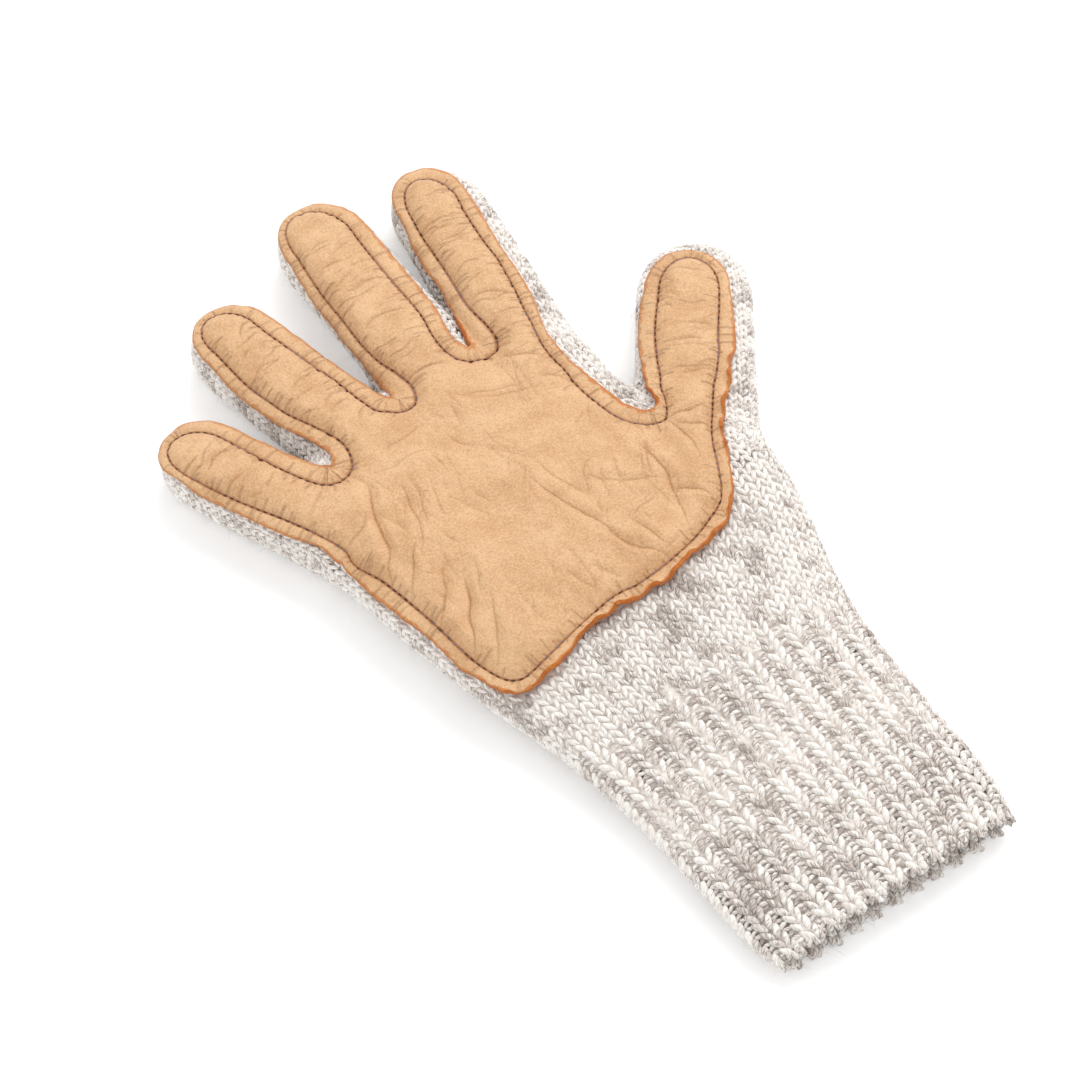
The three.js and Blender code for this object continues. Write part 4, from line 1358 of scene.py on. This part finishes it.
def seam_place(points):
    """How far inside the edge places lie, with the seam put at SEAM_INSET, and where along the seam."""
    _, outside, _ = OUTLINE.nearest(points)
    number, past, along = SEAM.nearest(points)
    to_edge, to_seam = np.maximum(0, -outside), np.maximum(0, past)
    margin = SEAM_INSET * to_edge / np.maximum(to_edge + to_seam, 1e-6)
    return np.where(past > 0, margin, SEAM_INSET - past), number * SEAM.step + along


PUFF = 0.95  # how far the leather stands off inside the seam
PUFF_WIDTH = 4  # and within which distance of the seam it gets there
SEAM_DEPTH = 0.6
SEAM_WIDTH = 0.75
MARGIN_SWELL = 0.25
PUCKER_HEIGHT = 0.40


class Relief:
    """How far the leather stands off its plain form: puff, seam, puckers, folds and creases."""

    def __init__(self, x, y):
        inward, arc = seam_place(np.stack([x.ravel(), y.ravel()], -1))
        self.inward = inward.reshape(x.shape)
        self.arc = arc.reshape(x.shape)
        field = smoothstep(self.inward, SEAM_INSET, SEAM_INSET + PUFF_WIDTH)
        from_seam = np.abs(self.inward - SEAM_INSET)
        reach = np.maximum(0.9, 2.4 + 1.8 * Waves(32, 9)(self.arc))
        near = np.exp(-((from_seam / reach) ** 2)) * np.where(self.inward < SEAM_INSET, 0.7, 1.0)
        pucker = Waves(31, 2.6, 11)(self.arc + 0.5 * Waves(38, 5, 7, 2)(x, y))
        strength = np.clip(0.6 + 0.6 * Waves(39, 30)(self.arc), 0.1, 1.3)
        creases, self.crease, self.crease_gap = creased(x, y)
        self.height = PUFF * field
        self.height -= SEAM_DEPTH * np.exp(-((from_seam / SEAM_WIDTH) ** 2))
        self.height += MARGIN_SWELL * np.exp(-(((self.inward - SEAM_INSET / 2) / 1.4) ** 2))
        self.height += PUCKER_HEIGHT * strength * np.minimum(pucker, 0.35) * near
        self.height += creases * np.maximum(field, 0.3 * (self.inward > 1))
        self.height += 0.45 * Waves(33, 24, 9, 2)(x, y) * field
        self.height += 0.15 * Waves(34, 6, 11, 2)(x, y) * field


def palm_leather(top_material, raw_material):
    """The leather patch laid over the knit, with its margin curled up and its thickness below."""
    flat, triangles, to_edge, edge = leather_sheet()
    x, y = flat.T
    grow = SEAM_GAP + LEATHER
    relief = Relief(x, y)
    normal = leather_normals(x, y, grow)
    points = np.stack([x, y, form_top(x, y, grow)], -1) + normal * relief.height[:, None]
    outward = np.concatenate([OUTLINE.outward[edge], np.zeros((len(flat), 1))], 1)
    arc = edge * OUTLINE.step
    lifted = np.clip(-(outward[:, 0] * LIFTED_SIDE[0] + outward[:, 1] * LIFTED_SIDE[1]), 0, 1)
    waves = 0.9 + 0.5 * Waves(35, 15)(arc) + 0.3 * Waves(42, 6)(arc)
    lift = (OUTLINE.lift[edge] + SIDE_LIFT * lifted * (1 - OUTLINE.ruffle[edge])) * waves
    angle = np.radians(np.clip(lift, 4, 105))
    past = np.maximum(0, CURL_WIDTH - to_edge)
    bend = CURL_WIDTH / angle
    points -= outward * (past - bend * np.sin(past / bend))[:, None]
    points += normal * (bend * (1 - np.cos(past / bend)))[:, None]
    piece = new_piece("leather_patch", points, [triangles], [top_material, raw_material])
    around = relief.arc[triangles]
    split = np.ptp(around, axis=1) > SEAM.length / 2
    low_side = around[split] < SEAM.length / 2
    around[split] += SEAM.length * low_side
    set_uv(piece, "seam", np.stack([around, relief.inward[triangles]], -1).reshape(-1, 2))
    number, across, along = digit_place(x, y)
    begin = np.array([row.start * LINES[row.digit].length for row in WRINKLES])[number]
    end = np.array([row.end * LINES[row.digit].length for row in WRINKLES])[number]
    set_uv(piece, "digit", np.stack([across, along + 150 * number], -1)[triangles].reshape(-1, 2))
    on_digit = smoothstep(along, begin, begin + 8) * (1 - smoothstep(along, end, end + 5))
    set_attribute(piece, "on_digit", on_digit)
    set_attribute(piece, "at_tip", smoothstep(along, end - 1, end + 5))
    # The main crease's strength and signed distance, from which the leather's colour paints shade along it.
    set_attribute(piece, "crease", relief.crease)
    set_attribute(piece, "crease_gap", relief.crease_gap)
    set_attribute(piece, "bare_edge", np.clip(0.6 + OUTLINE.lift[edge] / 90, 0, 1))
    apply_modifier(
        piece, "SOLIDIFY", thickness=LEATHER * MM, offset=-1, use_rim=True,
        material_offset=1, material_offset_rim=1,
    )
    return piece


# Sewing thread.

STITCH_PITCH = 2.1
THREAD_RADIUS = 0.21
THREAD_RISE = 0.12  # how far a stitch's middle lies above the leather
THREAD_DIP = 0.6  # how far its ends lie below its middle


def seam_thread(material):
    """The single stitches of the seam round the patch, each a short strand that dips at both ends."""
    points = SEAM.points
    count = int(SEAM.length / STITCH_PITCH)
    t = np.array([0, 0.12, 0.35, 0.65, 0.88, 1])
    place = (np.arange(count)[:, None] + lerp(0.02, 0.98, t)[None, :]) / count * len(points)
    low = np.floor(place).astype(int)
    share = (place - low)[..., None]
    flat = lerp(points[low % len(points)], points[(low + 1) % len(points)], share)
    x, y = flat[..., 0], flat[..., 1]
    grow = SEAM_GAP + LEATHER
    relief = Relief(x, y).height.mean(1, keepdims=True)
    normal = leather_normals(x, y, grow)
    rise = relief + THREAD_RISE - THREAD_DIP * np.abs(2 * t - 1) ** 3
    axis = np.stack([x, y, form_top(x, y, grow)], -1) + normal * rise[..., None]
    radius = np.tile(THREAD_RADIUS * np.array([0, 0.8, 1, 1, 0.8, 0]), (count, 1))
    tone = np.clip(0.5 + 0.5 * Waves(41, 40)(np.arange(count) * STITCH_PITCH), 0, 1)
    tone = 0.6 * tone + 0.4 * np.random.default_rng(9).uniform(0, 1, count)
    return spindles("seam_thread", axis, radius, normal, tone, 6, material)


# Materials. Colours are linear.

CREAM = (0.93, 0.90, 0.855, 1)
FLECK = (0.25, 0.20, 0.175, 1)
MARL = (0.60, 0.51, 0.455, 1)
PLY_SHADE = (0.66, 0.55, 0.48, 1)
FIBRE_LIGHT = (0.86, 0.83, 0.79, 1)
FIBRE_DARK = (0.36, 0.30, 0.27, 1)
# The ground's colours are darker than the yarn's: painted shade in the gaps between the stitches, mottled at
# random.
GROUND_LIGHT = (0.82, 0.76, 0.70, 1)
GROUND_DARK = (0.54, 0.47, 0.42, 1)
TAN = (0.57, 0.315, 0.149, 1)
TAN_LIGHT = (0.745, 0.475, 0.26, 1)
# The colour of the painted shade in the leather's creases, puckers, cross wrinkles and seam groove.
TAN_PAINTED_SHADE = (0.34, 0.12, 0.036, 1)
RAW = (0.41, 0.108, 0.016, 1)
RAW_LIGHT = (0.55, 0.18, 0.038, 1)
THREAD_DARK = (0.075, 0.032, 0.028, 1)
THREAD_LIGHT = (0.30, 0.21, 0.24, 1)
TAN_GRAIN = 1600.0  # cells of grain to a metre
RAW_GRAIN = 1300.0


def node(tree, kind, inputs=None, **settings):
    """A shader node with its settings, and its inputs, which are values or other nodes' outputs."""
    made = tree.nodes.new(kind)
    for key, value in settings.items():
        setattr(made, key, value)
    for key, value in (inputs or {}).items():
        if isinstance(value, bpy.types.NodeSocket):
            tree.links.new(value, made.inputs[key])
        else:
            made.inputs[key].default_value = value
    return made


def math_node(tree, operation, a, b=0.0, clamp=False):
    return node(tree, "ShaderNodeMath", {0: a, 1: b}, operation=operation, use_clamp=clamp).outputs[0]


def times(tree, product, *factors):
    for factor in factors:
        product = math_node(tree, "MULTIPLY", product, factor)
    return product


def plus(tree, a, b):
    return math_node(tree, "ADD", a, b)


def minus(tree, a, b):
    return math_node(tree, "SUBTRACT", a, b)


def absolute(tree, value):
    return math_node(tree, "ABSOLUTE", value)


def larger(tree, a, b, clamp=False):
    return math_node(tree, "MAXIMUM", a, b, clamp)


def mix_colour(tree, share, a, b):
    return node(tree, "ShaderNodeMix", {0: share, 6: a, 7: b}, data_type="RGBA").outputs[2]


def ramp(tree, value, low, high):
    """A value's smooth rise from 0 to 1 between two levels."""
    levels = {"Value": value, "From Min": low, "From Max": high}
    return node(tree, "ShaderNodeMapRange", levels, interpolation_type="SMOOTHSTEP").outputs[0]


def noise(tree, place, scale, detail, roughness=0.5):
    inputs = {"Vector": place, "Scale": scale, "Detail": detail, "Roughness": roughness}
    return node(tree, "ShaderNodeTexNoise", inputs).outputs[0]


def attribute(tree, name):
    return node(tree, "ShaderNodeAttribute", attribute_name=name).outputs["Fac"]


def uv_parts(tree, name):
    """The two coordinates of a UV map."""
    uv = node(tree, "ShaderNodeUVMap", uv_map=name)
    parts = node(tree, "ShaderNodeSeparateXYZ", {0: uv.outputs[0]})
    return parts.outputs[0], parts.outputs[1]


def new_material(name, roughness, **constants):
    material = bpy.data.materials.new(name)
    material.use_nodes = True
    shader = material.node_tree.nodes["Principled BSDF"]
    shader.inputs["Roughness"].default_value = roughness
    for key, value in constants.items():
        shader.inputs[key].default_value = value
    return material, material.node_tree, shader


def surfaced(tree, shader, colour, height, strength, distance):
    """Gives a shader its colour, and its bumps from a height. distance is in metres."""
    bump = node(tree, "ShaderNodeBump", {"Strength": strength, "Distance": distance, "Height": height})
    tree.links.new(colour, shader.inputs["Base Color"])
    tree.links.new(bump.outputs[0], shader.inputs["Normal"])


def wool_yarn():
    """Plied heathered yarn: cream fibres with grey-brown flecks that follow the twist of its plies."""
    material, tree, shader = new_material(
        "wool_yarn", 0.92, **{"Sheen Weight": 0.4, "Sheen Roughness": 0.5, "Specular IOR Level": 0.15}
    )
    along, around = uv_parts(tree, "ply")
    twist = plus(tree, times(tree, around, 2.0), times(tree, along, 0.42))
    wave = absolute(tree, math_node(tree, "SINE", times(tree, twist, math.pi)))
    groove = ramp(tree, wave, 0.34, 0.0)
    along_fibres = {0: times(tree, along, 0.55), 1: times(tree, twist, 2.6)}
    stretched = node(tree, "ShaderNodeCombineXYZ", along_fibres).outputs[0]
    fibres = noise(tree, stretched, 1.5, 3.0)
    blotches = noise(tree, stretched, 0.5, 1.0)
    darker = times(tree, attribute(tree, "tone"), 0.22)
    blotch = ramp(tree, plus(tree, blotches, darker), 0.50, 0.74)
    fleck = ramp(tree, plus(tree, fibres, darker), 0.60, 0.72)
    colour = mix_colour(tree, times(tree, groove, 0.55), CREAM, PLY_SHADE)
    colour = mix_colour(tree, times(tree, blotch, 0.65), colour, MARL)
    colour = mix_colour(tree, times(tree, fleck, 0.7), colour, FLECK)
    surfaced(tree, shader, colour, plus(tree, wave, times(tree, fibres, 0.8)), 0.5, 0.0002)
    return material


def fuzz_fibre():
    """The loose hairs' fibre."""
    constants = {"Specular IOR Level": 0.1, "Sheen Weight": 0.3}
    material, tree, shader = new_material("wool_fibre", 0.9, **constants)
    colour = mix_colour(tree, attribute(tree, "tone"), FIBRE_LIGHT, FIBRE_DARK)
    tree.links.new(colour, shader.inputs["Base Color"])
    return material


def ground_wool():
    """The wool below the stitches, mottled at random, with colours darker than the yarn's as painted shade in
    the gaps between the stitches.
    """
    material, tree, shader = new_material("wool_ground", 0.95, **{"Specular IOR Level": 0.1})
    place = node(tree, "ShaderNodeTexCoord").outputs["Object"]
    mottle = noise(tree, place, 350.0, 4.0)
    colour = mix_colour(tree, ramp(tree, mottle, 0.35, 0.65), GROUND_LIGHT, GROUND_DARK)
    surfaced(tree, shader, colour, mottle, 0.6, 0.0004)
    return material


def fine_grain_group():
    """Fine leather grain: a height and a mottle over object coordinates."""
    tree = bpy.data.node_groups.new("fine_grain", "ShaderNodeTree")
    for name, direction in (("Scale", "INPUT"), ("Height", "OUTPUT"), ("Mottle", "OUTPUT")):
        tree.interface.new_socket(name, in_out=direction, socket_type="NodeSocketFloat")
    enter = tree.nodes.new("NodeGroupInput")
    leave = tree.nodes.new("NodeGroupOutput")
    scale = enter.outputs[0]
    place = node(tree, "ShaderNodeTexCoord").outputs["Object"]
    cells = node(tree, "ShaderNodeTexVoronoi", {"Vector": place, "Scale": scale, "Randomness": 1.0})
    fine = noise(tree, place, scale, 5.0, 0.7)
    wide = noise(tree, place, times(tree, scale, 0.06), 3.0)
    height = plus(tree, times(tree, cells.outputs["Distance"], 0.6), fine)
    mottle = plus(tree, times(tree, wide, 0.3), times(tree, fine, 0.7))
    tree.links.new(height, leave.inputs[0])
    tree.links.new(mottle, leave.inputs[1])
    return tree


def grain_of(tree, grain, scale):
    """The fine grain's height and mottle."""
    made = node(tree, "ShaderNodeGroup", {}, node_tree=grain)
    made.inputs["Scale"].default_value = scale
    return made.outputs[0], made.outputs[1]


def wrinkle_lines(tree, along, across, spacing, width, wander):
    """Thin lines across a direction, spaced at random: their strength, a softer one, and random values."""
    directions = {0: times(tree, along, 0.25), 1: times(tree, across, 0.28)}
    place = node(tree, "ShaderNodeCombineXYZ", directions).outputs[0]
    shift = times(tree, minus(tree, noise(tree, place, 0.45, 0.5), 0.5), wander)
    inputs = {"W": plus(tree, along, shift), "Scale": 1 / spacing}
    cells = node(tree, "ShaderNodeTexVoronoi", inputs, voronoi_dimensions="1D")
    gap = times(tree, cells.outputs["Distance"], spacing)
    chance = node(tree, "ShaderNodeSeparateColor", {0: cells.outputs["Color"]}).outputs
    return ramp(tree, gap, width, width * 0.3), ramp(tree, gap, width * 2.6, 0.0), chance


def puckers(tree, along, inward, past_seam, busy):
    """Short puckers that run away from the seam on both its sides: their lines, which the leather paints as
    shade, and softer ones.
    """
    line, soft, chance = wrinkle_lines(tree, along, inward, 1.35, 0.28, 1.8)
    reach = plus(tree, times(tree, math_node(tree, "POWER", chance[0], 2.5), 5.0), 0.6)
    field_end = ramp(tree, minus(tree, reach, past_seam), 0.0, 1.2)
    off_tip = ramp(tree, attribute(tree, "at_tip"), 1.0, 0.0)
    field_side = times(tree, field_end, ramp(tree, past_seam, -0.1, 0.1), off_tip)
    margin_end = ramp(tree, plus(tree, times(tree, chance[1], 6.0), past_seam), 0.0, 0.8)
    some = ramp(tree, chance[2], 0.25, 0.6)
    margin_side = times(tree, margin_end, ramp(tree, past_seam, 0.1, -0.1), some)
    where = times(tree, larger(tree, field_side, margin_side), busy)
    return times(tree, line, where), times(tree, soft, where)


def cross_wrinkles(tree, past_seam):
    """Fine wrinkles across the digits: their lines, which the leather paints as shade, and softer ones."""
    across, along = uv_parts(tree, "digit")
    line, soft, chance = wrinkle_lines(tree, along, across, 2.6, 0.22, 5.0)
    centre = times(tree, minus(tree, chance[0], 0.5), 18.0)
    from_centre = absolute(tree, minus(tree, across, centre))
    half = plus(tree, times(tree, chance[1], 6.0), 1.5)
    reached = ramp(tree, minus(tree, half, from_centre), 0.0, 2.0)
    in_field = ramp(tree, past_seam, 0.3, 1.5)
    some = ramp(tree, chance[2], 0.1, 0.7)
    where = times(tree, reached, attribute(tree, "on_digit"), in_field, some)
    return times(tree, line, where), times(tree, soft, where)


def tan_leather(grain):
    """Smooth deerskin with puckers at its seam, cross wrinkles on its digits, and sharp creases. Their lines
    and the seam's groove are painted shade in its colour.
    """
    material, tree, shader = new_material(
        "tan_deerskin", 0.6, **{"Specular IOR Level": 0.35, "Sheen Weight": 0.1, "Sheen Roughness": 0.4}
    )
    fine, mottle = grain_of(tree, grain, TAN_GRAIN)
    along, inward = uv_parts(tree, "seam")
    past_seam = minus(tree, inward, SEAM_INSET)
    seam_places = {"W": times(tree, along, 0.07)}
    patches = node(tree, "ShaderNodeTexNoise", seam_places, noise_dimensions="1D").outputs[0]
    busy = ramp(tree, patches, 0.33, 0.55)
    pucker_painted_shade, pucker_soft = puckers(tree, along, inward, past_seam, busy)
    cross_painted_shade, cross_soft = cross_wrinkles(tree, past_seam)
    strength = attribute(tree, "crease")
    gap = absolute(tree, attribute(tree, "crease_gap"))
    crease = times(tree, ramp(tree, gap, 0.34, 0.08), strength)
    crease_soft = times(tree, ramp(tree, gap, 0.8, 0.0), strength)
    seam_shade = times(tree, ramp(tree, absolute(tree, past_seam), 0.65, 0.12), 0.85)
    # Painted shade: the seam's groove and the lines of the puckers, creases and cross wrinkles darken the
    # colour.
    dark = larger(tree, times(tree, pucker_painted_shade, 0.40), seam_shade)
    dark = larger(tree, dark, times(tree, crease, 0.75))
    dark = larger(tree, dark, times(tree, cross_painted_shade, 0.30), clamp=True)
    uneven = times(tree, minus(tree, patches, 0.5), 1.8)
    rim = times(tree, ramp(tree, plus(tree, inward, uneven), 1.0, 0.5), attribute(tree, "bare_edge"))
    colour = mix_colour(tree, ramp(tree, mottle, 0.37, 0.62), TAN, TAN_LIGHT)
    colour = mix_colour(tree, dark, colour, TAN_PAINTED_SHADE)
    colour = mix_colour(tree, times(tree, rim, 0.9), colour, RAW_LIGHT)
    height = times(tree, fine, 0.6)
    for lines, depth in ((pucker_soft, 1.6), (cross_soft, 1.0), (crease_soft, 1.4)):
        height = minus(tree, height, times(tree, lines, depth))
    surfaced(tree, shader, colour, height, 0.75, 0.0004)
    return material


def raw_leather(grain):
    """The suede underside and the cut edge."""
    constants = {"Specular IOR Level": 0.1, "Sheen Weight": 0.2}
    material, tree, shader = new_material("raw_deerskin", 0.9, **constants)
    fine, mottle = grain_of(tree, grain, RAW_GRAIN)
    colour = mix_colour(tree, ramp(tree, mottle, 0.38, 0.66), RAW, RAW_LIGHT)
    surfaced(tree, shader, colour, fine, 0.7, 0.0003)
    return material


def thread_material():
    """Dark twisted sewing thread with lighter stretches."""
    material, tree, shader = new_material("sewing_thread", 0.6, **{"Specular IOR Level": 0.3})
    along, around = uv_parts(tree, "ply")
    twist = plus(tree, around, times(tree, along, 1.2))
    wave = math_node(tree, "SINE", times(tree, twist, 4 * math.pi))
    light = ramp(tree, plus(tree, attribute(tree, "tone"), times(tree, wave, 0.12)), 0.55, 0.80)
    surfaced(tree, shader, mix_colour(tree, light, THREAD_DARK, THREAD_LIGHT), wave, 0.5, 0.0001)
    return material


# Floor, light and camera, in metres and degrees.

CAMERA_AZIMUTH = -35.43
CAMERA_ELEVATION = 55.0
CAMERA_DISTANCE = 0.9
CAMERA_TARGET = (-0.0114, 0.0076, 0.0)
FOCAL_PIXELS = 3333.3
FRAME_PIXELS = 1080
SENSOR = 36.0
CLIP = (0.05, 20)
FLOOR_SIZE = 8
FLOOR_HEIGHT = -0.00005
FLOOR_WHITE = (0.93, 0.93, 0.93, 1)
FLOOR_GLOW = 0.16
STUDIO_LIGHT = 0.93
WHITE = (1, 1, 1, 1)
Lamp = namedtuple("Lamp", "name azimuth elevation distance size power")
LAMPS = [
    Lamp("key", 125, 48, 1.7, 1.2, 14.5),
    Lamp("fill", -60, 60, 1.8, 1.6, 1),
]


def faced(thing, azimuth, elevation, distance, target=(0, 0, 0)):
    """Puts a lamp or a camera in the scene, at a distance from a target and turned to it."""
    bpy.context.scene.collection.objects.link(thing)
    a, e = math.radians(azimuth), math.radians(elevation)
    back = Vector((math.sin(a) * math.cos(e), -math.cos(a) * math.cos(e), math.sin(e)))
    thing.location = Vector(target) + back * distance
    thing.rotation_mode = "QUATERNION"
    thing.rotation_quaternion = (-back).to_track_quat("-Z", "Y")


def camera():
    data = bpy.data.cameras.new("camera")
    data.sensor_width = SENSOR
    data.lens = FOCAL_PIXELS / FRAME_PIXELS * SENSOR
    data.clip_start, data.clip_end = CLIP
    eye = bpy.data.objects.new("camera", data)
    faced(eye, CAMERA_AZIMUTH, CAMERA_ELEVATION, CAMERA_DISTANCE, CAMERA_TARGET)
    bpy.context.scene.camera = eye


def stage():
    """A near-white floor with a slight glow, and the studio's even light."""
    bpy.ops.mesh.primitive_plane_add(size=FLOOR_SIZE, location=(0, 0, FLOOR_HEIGHT))
    floor = bpy.context.active_object
    floor.name = "floor"
    material, _, shader = new_material("floor_white", 0.9, **{"Specular IOR Level": 0.0})
    shader.inputs["Base Color"].default_value = FLOOR_WHITE
    shader.inputs["Emission Color"].default_value = WHITE
    shader.inputs["Emission Strength"].default_value = FLOOR_GLOW
    floor.data.materials.append(material)
    world = bpy.data.worlds.new("studio")
    world.use_nodes = True
    background = world.node_tree.nodes["Background"]
    background.inputs[0].default_value = WHITE
    background.inputs[1].default_value = STUDIO_LIGHT
    bpy.context.scene.world = world


def lights():
    for row in LAMPS:
        data = bpy.data.lights.new(row.name, "AREA")
        data.size = row.size
        data.energy = row.power
        faced(bpy.data.objects.new(row.name, data), row.azimuth, row.elevation, row.distance)


camera()
stage()
lights()
bpy.context.scene.view_settings.view_transform = "Standard"

yarn = wool_yarn()
ground = knit_ground(ground_wool())
grain = fine_grain_group()
leather = palm_leather(tan_leather(grain), raw_leather(grain))
thread = seam_thread(thread_material())
stitches = knit_pieces(yarn, fuzz_fibre())

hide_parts(*KNIT_NODES)
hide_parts("leather_palm")
for piece in [ground, leather, thread, *stitches]:
    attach(piece, "root")
